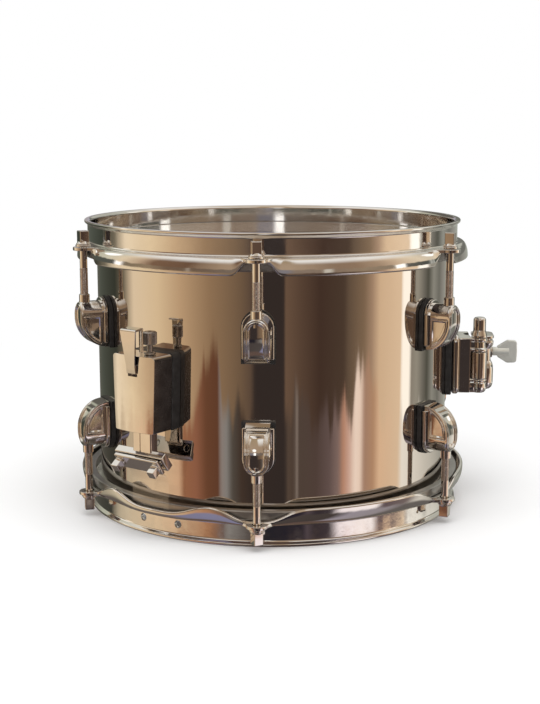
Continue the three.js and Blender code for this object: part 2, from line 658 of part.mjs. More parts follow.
// Strainer, built at azimuth 0 of its own group: x is outwards, y is along the shell.
const HOUSING_FRONT = STRAINER_SEAT + HOUSING_DEPTH;
const CHANNEL_BACK = STRAINER_SEAT + HOUSING_BACK_WALL;
const CHANNEL_FRONT = CHANNEL_BACK + CHANNEL_DEPTH;
const SLIDE_BACK = CHANNEL_BACK + FIT_GAP;
const SLIDE_DEPTH = CHANNEL_DEPTH - FIT_GAP * 2;
const SLIDE_MIDDLE = SLIDE_BACK + SLIDE_DEPTH / 2;
const THUMB_RADIAL = SLIDE_MIDDLE;
const PIVOT_X = HOUSING_FRONT - LEVER_PIVOT_FROM_FRONT;
const PIVOT_Z = HOUSING_TOP_FROM_MIDDLE - LEVER_PIVOT_FROM_TOP;

function housingOutline(margin) {
  const top = HOUSING_TOP_FROM_MIDDLE + margin;
  const bottom = HOUSING_BOTTOM - margin;
  const topHalf = HOUSING_TOP_WIDTH / 2 + margin;
  const bottomHalf = HOUSING_BOTTOM_WIDTH / 2 + margin;
  return outline([
    [-bottomHalf, bottom],
    [bottomHalf, bottom],
    [topHalf, top - HOUSING_CORNER],
    [topHalf - HOUSING_CORNER / 2, top],
    [HOUSING_CORNER / 2 - topHalf, top],
    [-topHalf, top - HOUSING_CORNER],
  ]);
}

function strainerGasket() {
  const from = SHELL_RADIUS - OVERRUN * 2;
  const pad = outwardPrism(housingOutline(GASKET_MARGIN / 2), from, STRAINER_SEAT - FIT_GAP - from);
  const holes = [-HOUSING_SCREW_SPACING / 2, HOUSING_SCREW_SPACING / 2].map((y) =>
    outwardRound(SCREW_HOLE_RADIUS, from, OVERRUN * 4, y, HOUSING_MIDDLE),
  );
  return cutAway(pad, shellSpace(), ...holes);
}

function strainerHousing() {
  const half = HOUSING_TOP_WIDTH / 2 + OVERRUN;
  const plan = new THREE.Shape();
  plan.moveTo(STRAINER_SEAT, -half);
  plan.lineTo(HOUSING_FRONT - HOUSING_CROWN, -half);
  plan.quadraticCurveTo(HOUSING_FRONT + HOUSING_CROWN, 0, HOUSING_FRONT - HOUSING_CROWN, half);
  plan.lineTo(STRAINER_SEAT, half);
  const body = outwardPrism(housingOutline(0), STRAINER_SEAT, HOUSING_DEPTH + OVERRUN).intersect(
    uprightPrism(plan, HOUSING_BOTTOM - OVERRUN, HOUSING_HEIGHT + OVERRUN * 2, SWEEP_STEPS),
  );
  const channelHeight = HOUSING_HEIGHT - HOUSING_ROOF + OVERRUN;
  const channelMiddle = HOUSING_TOP_FROM_MIDDLE - HOUSING_ROOF - channelHeight / 2;
  const channel = block(
    [CHANNEL_DEPTH, CHANNEL_WIDTH, channelHeight],
    [CHANNEL_BACK + CHANNEL_DEPTH / 2, 0, channelMiddle],
  );
  const slotDepth = HOUSING_FRONT - CHANNEL_FRONT + OVERRUN * 2;
  const slotHeight = LEVER_SLOT_ABOVE_PIVOT + LEVER_SLOT_BELOW_PIVOT;
  const slotMiddle = PIVOT_Z + (LEVER_SLOT_ABOVE_PIVOT - LEVER_SLOT_BELOW_PIVOT) / 2;
  const slot = block(
    [slotDepth, LEVER_SLOT_WIDTH, slotHeight],
    [CHANNEL_FRONT - FIT_GAP + slotDepth / 2, LEVER_OFFSET, slotMiddle],
  );
  const pinHole = sidewaysRound(
    LEVER_PIN_RADIUS + FIT_GAP, LEVER_PIN_LENGTH + FIT_GAP * 2, PIVOT_X, LEVER_OFFSET, PIVOT_Z, ROUND_STEPS,
  );
  const thumbHole = uprightRound(
    THUMB_SHAFT_RADIUS + FIT_GAP,
    HOUSING_TOP_FROM_MIDDLE - HOUSING_ROOF - OVERRUN,
    HOUSING_ROOF + OVERRUN * 2,
    THUMB_RADIAL,
    THUMB_OFFSET,
  );
  const screws = [-HOUSING_SCREW_SPACING / 2, HOUSING_SCREW_SPACING / 2].map((y) =>
    mountingScrew(STRAINER_SEAT, y, HOUSING_MIDDLE),
  );
  return joined(cutAway(body, channel, slot, pinHole, thumbHole), ...screws);
}

// Throw-off lever: a tapered blade in front of the housing, folded back over its top.
function strainerLever() {
  const foot = HOUSING_FRONT + LEVER_STANDOFF;
  const head = foot + LEVER_LEAN;
  const bladeTop = PIVOT_Z + LEVER_BLADE_LENGTH;
  const hubTop = PIVOT_Z + LEVER_HUB_RADIUS;
  const side = outline([
    [PIVOT_X, PIVOT_Z - LEVER_HUB_RADIUS / 2],
    [foot, PIVOT_Z - LEVER_TAIL],
    [foot + LEVER_SHEET / 2, PIVOT_Z - LEVER_TAIL],
    [foot + LEVER_SHEET, PIVOT_Z],
    [head + LEVER_SHEET, bladeTop],
    [head - LEVER_FOLD_DEPTH, bladeTop],
    [head - LEVER_FOLD_DEPTH, bladeTop - LEVER_SHEET],
    [head, bladeTop - LEVER_SHEET],
    [foot, hubTop],
    [PIVOT_X, hubTop],
  ]);
  const front = outline([
    [LEVER_OFFSET - LEVER_FOOT_WIDTH / 2, PIVOT_Z - LEVER_TAIL - OVERRUN],
    [LEVER_OFFSET + LEVER_FOOT_WIDTH / 2, PIVOT_Z - LEVER_TAIL - OVERRUN],
    [LEVER_OFFSET + LEVER_FOOT_WIDTH / 2, hubTop],
    [LEVER_OFFSET + LEVER_TOP_WIDTH / 2, bladeTop],
    [LEVER_OFFSET - LEVER_TOP_WIDTH / 2, bladeTop],
    [LEVER_OFFSET - LEVER_FOOT_WIDTH / 2, hubTop],
  ]);
  const blade = sidePrism(side, LEVER_TOP_WIDTH, LEVER_OFFSET).intersect(
    outwardPrism(front, CHANNEL_FRONT, HOUSING_DEPTH),
  );
  const tongueBack = head - LEVER_FOLD_DEPTH;
  const tongue = block(
    [LEVER_SHEET, LEVER_TONGUE_WIDTH, LEVER_TONGUE_LENGTH],
    [
      tongueBack + LEVER_SHEET / 2,
      LEVER_OFFSET + LEVER_TOP_WIDTH / 2 - LEVER_TONGUE_WIDTH / 2,
      bladeTop - LEVER_TONGUE_LENGTH / 2,
    ],
  );
  const hub = sidewaysRound(LEVER_HUB_RADIUS, LEVER_FOOT_WIDTH, PIVOT_X, LEVER_OFFSET, PIVOT_Z);
  const pin = sidewaysRound(LEVER_PIN_RADIUS, LEVER_PIN_LENGTH, PIVOT_X, LEVER_OFFSET, PIVOT_Z);
  return joined(blade, tongue, hub, pin);
}

function thumbscrew() {
  const collarBottom = HOUSING_TOP_FROM_MIDDLE + FIT_GAP;
  const collarTop = collarBottom + THUMB_COLLAR_HEIGHT;
  const knobBottom = HOUSING_TOP_FROM_MIDDLE + THUMB_STANDOFF;
  const knobTop = knobBottom + THUMB_HEIGHT;
  const bevelled = THUMB_RADIUS - THUMB_BEVEL;
  return turned(
    [
      [0, HOUSING_TOP_FROM_MIDDLE - THUMB_SHAFT_REACH],
      [THUMB_SHAFT_RADIUS, HOUSING_TOP_FROM_MIDDLE - THUMB_SHAFT_REACH],
      [THUMB_SHAFT_RADIUS, collarBottom],
      [THUMB_COLLAR_RADIUS, collarBottom],
      [THUMB_COLLAR_RADIUS, collarTop],
      [THUMB_SHAFT_RADIUS, collarTop],
      [THUMB_SHAFT_RADIUS, knobBottom],
      [bevelled, knobBottom],
      [THUMB_RADIUS, knobBottom + THUMB_BEVEL],
      [THUMB_RADIUS, knobTop - THUMB_BEVEL],
      [bevelled, knobTop],
      [0, knobTop],
    ],
    ROUND_STEPS,
  ).translate([THUMB_RADIAL, THUMB_OFFSET, 0]);
}

// The clamp's own axes: x is the screw direction, tilted outwards and down; its origin is the bar's centre.
const CLAMP_CENTRE = [STRAINER_SEAT + CLAMP_REACH, 0, HOUSING_BOTTOM - CLAMP_BELOW_HOUSING];
const STRAP_SLOT = CLAMP_BAR_THICKNESS / 2;
const PLATE_START = STRAP_SLOT + STRAP_THICKNESS + FIT_GAP * 2;
const inClamp = (body) => body.rotate([0, CLAMP_TILT_DEGREES, 0]).translate(CLAMP_CENTRE);

function strainerSlide() {
  const blockTop = PIVOT_Z + LEVER_HUB_RADIUS * 2;
  const blockBottom = blockTop - SLIDE_BLOCK_HEIGHT;
  const blockWidth = CHANNEL_WIDTH - FIT_GAP * 2;
  const carriage = block([SLIDE_DEPTH, blockWidth, SLIDE_BLOCK_HEIGHT], [SLIDE_MIDDLE, 0, (blockTop + blockBottom) / 2]);
  const stemBottom = HOUSING_BOTTOM - STEM_LENGTH;
  const stemHeight = blockBottom - stemBottom + FIT_GAP;
  const stemMiddle = [SLIDE_MIDDLE, STEM_OFFSET, stemBottom + stemHeight / 2];
  const stem = block([SLIDE_DEPTH, STEM_WIDTH, stemHeight], stemMiddle);
  const shaftEnd = HOUSING_TOP_FROM_MIDDLE - THUMB_SHAFT_REACH;
  const boreBottom = shaftEnd - FIT_GAP * 2;
  const boreLength = blockTop - boreBottom + SLIDE_TRAVEL + OVERRUN;
  const bore = uprightRound(THUMB_SHAFT_RADIUS + FIT_GAP, boreBottom, boreLength, THUMB_RADIAL, THUMB_OFFSET);
  const bar = inClamp(block([CLAMP_BAR_THICKNESS, CLAMP_LENGTH, CLAMP_HEIGHT], [0, 0, 0]));
  const holes = [-CLAMP_SCREW_SPACING / 2, CLAMP_SCREW_SPACING / 2].map((y) =>
    inClamp(outwardRound(CLAMP_SCREW_RADIUS + FIT_GAP, -CLAMP_BAR_THICKNESS, CLAMP_BAR_THICKNESS * 2, y, 0)),
  );
  return cutAway(joined(cutAway(carriage, bore), stem, bar), ...holes);
}

// Clamp plate with its two square-headed screws, which run back through the strap and the bar.
function clampPlate() {
  const plate = block(
    [CLAMP_PLATE_THICKNESS, CLAMP_PLATE_LENGTH, CLAMP_HEIGHT],
    [PLATE_START + CLAMP_PLATE_THICKNESS / 2, 0, 0],
  );
  const headStart = PLATE_START + CLAMP_PLATE_THICKNESS;
  const screws = [-CLAMP_SCREW_SPACING / 2, CLAMP_SCREW_SPACING / 2].flatMap((y) => [
    outwardRound(CLAMP_SCREW_RADIUS, -STRAP_SLOT + FIT_GAP, headStart + STRAP_SLOT, y, 0),
    block(
      [CLAMP_SCREW_HEAD_HEIGHT, CLAMP_SCREW_HEAD, CLAMP_SCREW_HEAD],
      [headStart + CLAMP_SCREW_HEAD_HEIGHT / 2, y, 0],
    ),
  ]);
  return joined(plate, ...screws);
}

// A strap of even thickness along a list of [radius, height] points.
function strapAlong(route, width) {
  const path = route.map(([radius, height]) => new THREE.Vector2(radius, height));
  const normals = path.map((point, index) => {
    const before = path[Math.max(index - 1, 0)];
    const after = path[Math.min(index + 1, path.length - 1)];
    const inward = point.clone().sub(before).normalize();
    const outward = after.clone().sub(point).normalize();
    const along = inward.add(outward).normalize();
    return new THREE.Vector2(-along.y, along.x).multiplyScalar(STRAP_THICKNESS / 2);
  });
  const left = path.map((point, index) => point.clone().add(normals[index]));
  const right = path.map((point, index) => point.clone().sub(normals[index]));
  return sidePrism(new THREE.Shape([...left, ...right.reverse()]), width);
}

// Where a strap runs, from its clamp down behind the collar, through the gate and under the head.
const STRAP_UNDER_HEAD = -HEAD_TOP - FIT_GAP - STRAP_THICKNESS / 2;
const STRAP_END_RADIUS = WIRE_SPAN / 2 + PLATE_DEPTH - STRAP_LAP;

function gateRoute() {
  const skirtFoot = -LEDGE_TOP + HOOP_SHEET / 2;
  const bendRadius = SHELL_RADIUS - EDGE_CHAMFER + FILM_OVERHANG;
  return [
    [STRAP_ROUTE_RADIUS, -FLESH_TOP + FLESH_HOOP_HEIGHT],
    [STRAP_ROUTE_RADIUS, -FLESH_TOP],
    [FLESH_HOOP_OUTER_RADIUS - FIT_GAP, skirtFoot],
    [HOOP_INNER_RADIUS, -LEDGE_TOP - FIT_GAP * 2],
    [bendRadius + FIT_GAP, STRAP_UNDER_HEAD + FIT_GAP],
    [bendRadius - OVERRUN / 2, STRAP_UNDER_HEAD],
    [STRAP_END_RADIUS, STRAP_UNDER_HEAD],
  ];
}

function strainerStrap() {
  const tilt = radians(CLAMP_TILT_DEGREES);
  const slot = STRAP_SLOT + FIT_GAP + STRAP_THICKNESS / 2;
  const inSlot = (up) => [
    CLAMP_CENTRE[0] + slot * Math.cos(tilt) + up * Math.sin(tilt),
    CLAMP_CENTRE[2] - slot * Math.sin(tilt) + up * Math.cos(tilt),
  ];
  const mouth = inSlot(-CLAMP_HEIGHT / 2 - FIT_GAP);
  const bend = mouth[0] - STRAP_ROUTE_RADIUS;
  const route = [
    inSlot(CLAMP_HEIGHT / 2 - FIT_GAP),
    mouth,
    [STRAP_ROUTE_RADIUS + bend / 4, mouth[1] - bend],
    [STRAP_ROUTE_RADIUS, mouth[1] - bend * 2],
    ...gateRoute(),
  ];
  const holes = [-CLAMP_SCREW_SPACING / 2, CLAMP_SCREW_SPACING / 2].map((y) =>
    inClamp(outwardRound(CLAMP_SCREW_RADIUS + FIT_GAP, 0, CLAMP_BAR_THICKNESS, y, 0)),
  );
  return cutAway(strapAlong(route, STRAP_WIDTH), ...holes);
}

// Butt plate, built at azimuth 0 of its own group.
const BUTT_FRONT = STRAP_ROUTE_RADIUS - STRAP_THICKNESS / 2 - FIT_GAP;
const BUTT_HEIGHT = CLAMP_HEIGHT * 1.6;
const BUTT_PLATE_START = STRAP_ROUTE_RADIUS + STRAP_THICKNESS / 2 + FIT_GAP;
const BUTT_SCREW_HEIGHT = BUTT_MIDDLE - FIT_GAP;

function buttPlate() {
  const from = BUTT_FRONT - BUTT_DEPTH * 2;
  const shape = roundedBox(-CLAMP_LENGTH / 2, BUTT_MIDDLE - BUTT_HEIGHT / 2, CLAMP_LENGTH, BUTT_HEIGHT, HOUSING_CORNER);
  const body = outwardPrism(shape, from, BUTT_FRONT - from, CORNER_STEPS);
  const holes = [-CLAMP_SCREW_SPACING / 2, CLAMP_SCREW_SPACING / 2].map((y) =>
    outwardRound(CLAMP_SCREW_RADIUS + FIT_GAP, BUTT_FRONT - BUTT_DEPTH / 2, BUTT_DEPTH, y, BUTT_SCREW_HEIGHT),
  );
  const screws = [-BUTT_SCREW_SPACING / 2, BUTT_SCREW_SPACING / 2].map((y) =>
    mountingScrew(SEAT_RADIUS, y, BUTT_MIDDLE),
  );
  return joined(cutAway(body, shellSpace(), ...holes), ...screws);
}

function buttClamp() {
  const plate = outwardPrism(
    roundedBox(
      -CLAMP_PLATE_LENGTH / 2, BUTT_MIDDLE - CLAMP_HEIGHT / 2, CLAMP_PLATE_LENGTH, CLAMP_HEIGHT, HOUSING_CORNER / 2,
    ),
    BUTT_PLATE_START,
    CLAMP_PLATE_THICKNESS,
    CORNER_STEPS,
  );
  const headStart = BUTT_PLATE_START + CLAMP_PLATE_THICKNESS;
  const shaftStart = BUTT_FRONT - BUTT_DEPTH / 2 + FIT_GAP;
  const screws = [-CLAMP_SCREW_SPACING / 2, CLAMP_SCREW_SPACING / 2].flatMap((y) => [
    outwardRound(CLAMP_SCREW_RADIUS, shaftStart, headStart - shaftStart + FIT_GAP, y, BUTT_SCREW_HEIGHT),
    block(
      [CLAMP_SCREW_HEAD_HEIGHT, CLAMP_SCREW_HEAD, CLAMP_SCREW_HEAD],
      [headStart + CLAMP_SCREW_HEAD_HEIGHT / 2, y, BUTT_SCREW_HEIGHT],
    ),
  ]);
  return joined(plate, ...screws);
}

function buttStrap() {
  const top = BUTT_MIDDLE + CLAMP_HEIGHT / 2 - FIT_GAP;
  const strap = strapAlong([[STRAP_ROUTE_RADIUS, top], ...gateRoute()], STRAP_WIDTH);
  const holes = [-CLAMP_SCREW_SPACING / 2, CLAMP_SCREW_SPACING / 2].map((y) =>
    outwardRound(CLAMP_SCREW_RADIUS + FIT_GAP, BUTT_FRONT, BUTT_DEPTH / 2, y, BUTT_SCREW_HEIGHT),
  );
  return cutAway(strap, ...holes);
}

// Snares: parallel wires between two end plates, lying under the snare-side head.
function snareWires() {
  const wireZ = -HEAD_TOP - FIT_GAP - WIRE_RADIUS;
  const plateTop = STRAP_UNDER_HEAD - STRAP_THICKNESS / 2 - FIT_GAP;
  const plateZ = plateTop - PLATE_THICKNESS / 2;
  const plateX = WIRE_SPAN / 2 + PLATE_DEPTH / 2;
  const plates = [-plateX, plateX].map((x) => block([PLATE_DEPTH, PLATE_WIDTH, PLATE_THICKNESS], [x, 0, plateZ]));
  const wireLength = WIRE_SPAN + PLATE_DEPTH / 3;
  const wires = [...Array(WIRE_COUNT).keys()].map((index) => {
    const y = (index - (WIRE_COUNT - 1) / 2) * WIRE_PITCH;
    return outwardRound(WIRE_RADIUS, -wireLength / 2, wireLength, y, wireZ, WIRE_SIDES);
  });
  return joined(...plates, ...wires);
}

// Tom bracket, built at azimuth 0 of its own group.
const BRACKET_SEAT = SEAT_RADIUS + BRACKET_GASKET_THICKNESS + FIT_GAP;
const BLOCK_BACK = BRACKET_SEAT + BRACKET_PLATE_THICKNESS;
const BLOCK_FRONT = BLOCK_BACK + BRACKET_BLOCK_DEPTH;
const TOM_ROD_RADIAL = BLOCK_FRONT + JAW_GAP / 2;
const JAW_BACK = BLOCK_FRONT + JAW_GAP;
const JAW_TOP = BRACKET_TOP_FROM_MIDDLE - JAW_TOP_DROP;
const JAW_BOTTOM = JAW_TOP - JAW_HEIGHT;
const HINGE_X = BLOCK_FRONT + KNUCKLE_REACH;
const JAW_NEAR = KNUCKLE_OFFSET + KNUCKLE_RADIUS + FIT_GAP * 3;
const JAW_FAR = BRACKET_BLOCK_WIDTH / 2 + JAW_OVERHANG;

function tomRodSpace() {
  return uprightRound(
    TOM_ROD_RADIUS, JAW_BOTTOM - OVERRUN, JAW_HEIGHT + OVERRUN * 2, TOM_ROD_RADIAL, TOM_ROD_OFFSET, ROUND_STEPS + 4,
  );
}

function bracketGasket() {
  const from = SHELL_RADIUS - OVERRUN * 2;
  const bottom = BRACKET_MIDDLE - BRACKET_HEIGHT / 2;
  const shape = roundedBox(-BRACKET_WIDTH / 2, bottom, BRACKET_WIDTH, BRACKET_HEIGHT, BRACKET_CORNER);
  const pad = outwardPrism(shape, from, BRACKET_SEAT - FIT_GAP - from, CORNER_STEPS);
  const holes = [-BRACKET_SCREW_SPACING / 2, BRACKET_SCREW_SPACING / 2].map((offset) =>
    outwardRound(SCREW_HOLE_RADIUS, from, OVERRUN * 4, 0, BRACKET_MIDDLE + offset),
  );
  return cutAway(pad, shellSpace(), ...holes);
}

function bracketBase() {
  const bottom = BRACKET_MIDDLE - BRACKET_HEIGHT / 2;
  const inset = BRACKET_PLATE_INSET;
  const plate = outwardPrism(
    roundedBox(
      inset - BRACKET_WIDTH / 2, bottom + inset, BRACKET_WIDTH - inset * 2, BRACKET_HEIGHT - inset * 2, BRACKET_CORNER,
    ),
    BRACKET_SEAT,
    BRACKET_PLATE_THICKNESS,
    CORNER_STEPS,
  );
  const body = block(
    [BRACKET_BLOCK_DEPTH + FIT_GAP, BRACKET_BLOCK_WIDTH, JAW_HEIGHT],
    [BLOCK_FRONT - (BRACKET_BLOCK_DEPTH + FIT_GAP) / 2, 0, JAW_TOP - JAW_HEIGHT / 2],
  );
  const knuckle = (from) => {
    const arm = roundedBox(
      BLOCK_FRONT - KNUCKLE_RADIUS,
      KNUCKLE_OFFSET - KNUCKLE_RADIUS,
      KNUCKLE_REACH + KNUCKLE_RADIUS * 2,
      KNUCKLE_RADIUS * 2,
      KNUCKLE_RADIUS - FIT_GAP,
    );
    return uprightPrism(arm, from, KNUCKLE_HEIGHT, CORNER_STEPS);
  };
  const pinHole = uprightRound(
    PIVOT_RADIUS + FIT_GAP, JAW_BOTTOM - OVERRUN, JAW_HEIGHT + OVERRUN * 2, HINGE_X, KNUCKLE_OFFSET,
  );
  const notchHeight = (WING_SHAFT_RADIUS + FIT_GAP * 2) * 2;
  const notchWidth = BRACKET_BLOCK_WIDTH / 2 - WING_OFFSET + notchHeight / 2 + OVERRUN;
  const notch = block(
    [BRACKET_BLOCK_DEPTH + OVERRUN, notchWidth, notchHeight],
    [
      BLOCK_BACK + (BRACKET_BLOCK_DEPTH + OVERRUN) / 2,
      WING_OFFSET - notchHeight / 2 + notchWidth / 2,
      WING_ABOVE_MIDDLE,
    ],
  );
  const screws = [-BRACKET_SCREW_SPACING / 2, BRACKET_SCREW_SPACING / 2].map((offset) =>
    mountingScrew(BRACKET_SEAT, 0, BRACKET_MIDDLE + offset),
  );
  const clamp = joined(plate, body, knuckle(JAW_BOTTOM), knuckle(JAW_TOP - KNUCKLE_HEIGHT));
  return joined(cutAway(clamp, tomRodSpace(), pinHole, notch), ...screws);
}

// Jaw: a rounded block that swings out on the hinge bolt to let the tom rod in.
function bracketJaw() {
  const side = roundedBox(
    JAW_BACK - BRACKET_CORNER * 2, JAW_BOTTOM, JAW_DEPTH + BRACKET_CORNER * 2, JAW_HEIGHT, BRACKET_CORNER,
  );
  const plan = roundedBox(JAW_BACK, JAW_NEAR, JAW_DEPTH, JAW_FAR - JAW_NEAR, BRACKET_CORNER / 2);
  const body = sidePrism(side, JAW_FAR * 2 + OVERRUN * 2, 0, CORNER_STEPS).intersect(
    uprightPrism(plan, JAW_BOTTOM, JAW_HEIGHT, CORNER_STEPS),
  );
  const barrelBottom = JAW_BOTTOM + KNUCKLE_HEIGHT + FIT_GAP;
  const barrelHeight = JAW_HEIGHT - (KNUCKLE_HEIGHT + FIT_GAP) * 2;
  const barrel = uprightRound(KNUCKLE_RADIUS, barrelBottom, barrelHeight, HINGE_X, KNUCKLE_OFFSET);
  const web = block(
    [KNUCKLE_RADIUS, JAW_NEAR - KNUCKLE_OFFSET + OVERRUN, barrelHeight],
    [HINGE_X + KNUCKLE_RADIUS / 2, (JAW_NEAR + KNUCKLE_OFFSET + OVERRUN) / 2, barrelBottom + barrelHeight / 2],
  );
  const pinHole = uprightRound(
    PIVOT_RADIUS + FIT_GAP, JAW_BOTTOM - OVERRUN, JAW_HEIGHT + OVERRUN * 2, HINGE_X, KNUCKLE_OFFSET,
  );
  const wingHole = outwardRound(
    WING_SHAFT_RADIUS + FIT_GAP, JAW_BACK - OVERRUN, JAW_DEPTH + OVERRUN * 2, WING_OFFSET, WING_ABOVE_MIDDLE,
  );
  return cutAway(joined(body, barrel, web), pinHole, wingHole, tomRodSpace());
}

// Domed hinge bolt through the knuckles.
function hingeBolt() {
  const seat = JAW_TOP + FIT_GAP;
  const top = seat + PIVOT_HEAD_HEIGHT;
  const dome = PIVOT_HEAD_RADIUS / 2;
  return turned(
    [
      [0, JAW_BOTTOM],
      [PIVOT_RADIUS, JAW_BOTTOM],
      [PIVOT_RADIUS, seat],
      [PIVOT_HEAD_RADIUS + FIT_GAP, seat],
      [PIVOT_HEAD_RADIUS, seat + dome],
      [PIVOT_HEAD_RADIUS, top - dome],
      [PIVOT_HEAD_RADIUS * Math.cos(Math.PI / 4), top - dome * (1 - Math.SQRT1_2)],
      [0, top],
    ],
    ROUND_STEPS,
  ).translate([HINGE_X, KNUCKLE_OFFSET, 0]);
}

// Wing screw: shaft through the jaw into the base's notch, hub and flat wings outside.
function wingScrew() {
  const hubStart = JAW_BACK + JAW_DEPTH + FIT_GAP;
  const wingStart = hubStart + WING_HUB_LENGTH;
  const shaftStart = BLOCK_BACK + FIT_GAP * 2;
  const wing = outline([
    [wingStart - WING_HUB_LENGTH / 2, WING_ABOVE_MIDDLE - WING_ROOT_SPAN / 2],
    [wingStart + WING_LENGTH / 3, WING_ABOVE_MIDDLE - WING_SPAN / 2],
    [wingStart + WING_LENGTH, WING_ABOVE_MIDDLE - WING_SPAN / 2],
    [wingStart + WING_LENGTH, WING_ABOVE_MIDDLE + WING_SPAN / 2],
    [wingStart + WING_LENGTH / 3, WING_ABOVE_MIDDLE + WING_SPAN / 2],
    [wingStart - WING_HUB_LENGTH / 2, WING_ABOVE_MIDDLE + WING_ROOT_SPAN / 2],
  ]);
  return joined(
    outwardRound(WING_SHAFT_RADIUS, shaftStart, wingStart - shaftStart, WING_OFFSET, WING_ABOVE_MIDDLE),
    outwardRound(WING_HUB_RADIUS, hubStart, WING_HUB_LENGTH + WING_LENGTH / 2, WING_OFFSET, WING_ABOVE_MIDDLE),
    sidePrism(wing, WING_THICKNESS, WING_OFFSET),
  );
}

// Assembly
const drum = new THREE.Group();
drum.position.z = -HEAD_TOP;

function station(degrees, inverted, ...meshes) {
  const turn = new THREE.Group();
  turn.rotation.z = radians(degrees + FRONT);
  const flip = new THREE.Group();
  flip.rotation.x = inverted ? Math.PI : 0;
  flip.add(...meshes);
  turn.add(flip);
  drum.add(turn);
}

function side(inverted, ...meshes) {
  const flip = new THREE.Group();
  flip.rotation.y = inverted ? Math.PI : 0;
  flip.add(...meshes);
  drum.add(flip);
}

// Turning the snare side over about Y carries an azimuth to its mirror image, so its gates are listed mirrored.
const snareGates = [-GATE_DEGREES, -GATE_DEGREES + 180];
const snareStraps = [-STRAINER_DEGREES, -BUTT_DEGREES];
const hangerDegrees = [-LUG_SPACING_DEGREES * 0.87];

drum.add(piece("shell", shell(), shellPlate()));
side(
  false,
  piece("batter_film", headFilm(), clearFilm()),
  piece("batter_flesh_hoop", fleshHoop(), aluminium()),
  piece("batter_hoop", hoop([], [], []), chrome()),
);
side(
  true,
  piece("snare_side_film", headFilm(), clearFilm()),
  piece("snare_side_flesh_hoop", fleshHoop(), aluminium()),
  piece("snare_side_hoop", hoop(snareGates, snareStraps, hangerDegrees), chrome()),
);

for (const [sideName, inverted] of [["batter", false], ["snare", true]]) {
  lugDegrees.forEach((degrees, index) => {
    const tag = sideName + "_" + (index + 1);
    const shift = inverted ? LOWER_LUG_SHIFT : 0;
    station(
      degrees,
      inverted,
      piece("lug_gasket_" + tag, lugGasket(shift), rubber()),
      piece("lug_" + tag, lug(shift), chrome()),
      piece("tension_rod_" + tag, tensionRod(), chrome()),
    );
  });
}

station(
  STRAINER_DEGREES,
  false,
  piece("strainer_gasket", strainerGasket(), rubber()),
  piece("strainer_housing", strainerHousing(), chrome()),
  piece("strainer_lever", strainerLever(), chrome()),
  piece("strainer_thumbscrew", thumbscrew(), knurledSteel()),
  piece("strainer_slide", strainerSlide(), chrome()),
  piece("strainer_clamp_plate", inClamp(clampPlate()), chrome()),
  piece("strainer_strap", strainerStrap(), clearFilm()),
  piece("snare_wires", snareWires(), snareSteel()),
);

station(
  BUTT_DEGREES,
  false,
  piece("butt_plate", buttPlate(), chrome()),
  piece("butt_clamp_plate", buttClamp(), chrome()),
  piece("butt_strap", buttStrap(), clearFilm()),
);

station(
  BRACKET_DEGREES,
  false,
  piece("bracket_gasket", bracketGasket(), rubber()),
  piece("bracket_base", bracketBase(), chrome()),
  piece("bracket_jaw", bracketJaw(), chrome()),
  piece("bracket_hinge_bolt", hingeBolt(), chrome()),
  piece("bracket_wing_screw", wingScrew(), chrome()),
);

export default drum;
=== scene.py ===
"""Looks for the auxiliary snare drum: smooth chrome hardware, clear heads, rubber gaskets and coiled snares."""
from math import acos, asin, cos, exp, hypot, pi, radians, sin, sqrt, tan, tau

import bmesh
import bpy
from mathutils import Matrix, Vector


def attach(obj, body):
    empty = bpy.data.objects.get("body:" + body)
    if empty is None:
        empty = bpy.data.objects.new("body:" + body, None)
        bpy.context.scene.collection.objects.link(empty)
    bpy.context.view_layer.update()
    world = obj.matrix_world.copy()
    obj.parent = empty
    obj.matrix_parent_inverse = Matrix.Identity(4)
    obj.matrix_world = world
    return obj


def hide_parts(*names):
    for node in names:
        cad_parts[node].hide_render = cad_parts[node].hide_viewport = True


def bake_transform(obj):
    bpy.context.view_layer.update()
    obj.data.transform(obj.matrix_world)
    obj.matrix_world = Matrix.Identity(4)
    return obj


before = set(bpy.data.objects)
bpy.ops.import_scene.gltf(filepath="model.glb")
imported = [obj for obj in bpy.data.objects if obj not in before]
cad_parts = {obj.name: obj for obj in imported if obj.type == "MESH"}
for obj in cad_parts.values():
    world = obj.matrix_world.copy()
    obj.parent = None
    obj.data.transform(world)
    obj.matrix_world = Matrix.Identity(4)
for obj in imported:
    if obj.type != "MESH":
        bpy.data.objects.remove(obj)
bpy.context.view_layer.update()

# Sizes are millimetres from the shell's mid-height, with x outwards and y along the shell, as in the CAD.
MM = 0.001
HEAD_TOP = 89.5
SHELL_RADIUS = 127
SHELL_WALL = 1.2
HALF_SHELL = 88.9
LUGS = [index * 60 for index in range(6)]
LOWER_LUG_SHIFT = 2.3
STRAINER = -32.4
BUTT = STRAINER + 180
BRACKET = 90
GATE = -30.5
PAD_GAP = 0.25


# Meshes
def mesh_of(verts, faces):
    """A closed mesh with its faces turned outwards and doubled points merged."""
    mesh = bpy.data.meshes.new("draft")
    bm = bmesh.new()
    made = [bm.verts.new(v) for v in verts]
    for face in faces:
        bm.faces.new([made[i] for i in face])
    bmesh.ops.remove_doubles(bm, verts=bm.verts, dist=1e-4)
    bmesh.ops.recalc_face_normals(bm, faces=bm.faces)
    bm.to_mesh(mesh)
    bm.free()
    return mesh


def loft(loops, ring=False):
    """Loops of equal length joined by quads, closed on itself or capped at both ends."""
    size = len(loops[0])
    verts = [point for loop in loops for point in loop]
    faces = []
    for row in range(len(loops) if ring else len(loops) - 1):
        after = (row + 1) % len(loops)
        for i in range(size):
            j = (i + 1) % size
            faces.append((row * size + i, row * size + j, after * size + j, after * size + i))
    if not ring:
        last = (len(loops) - 1) * size
        faces.append(tuple(range(size)))
        faces.append(tuple(last + i for i in range(size)))
    return mesh_of(verts, faces)


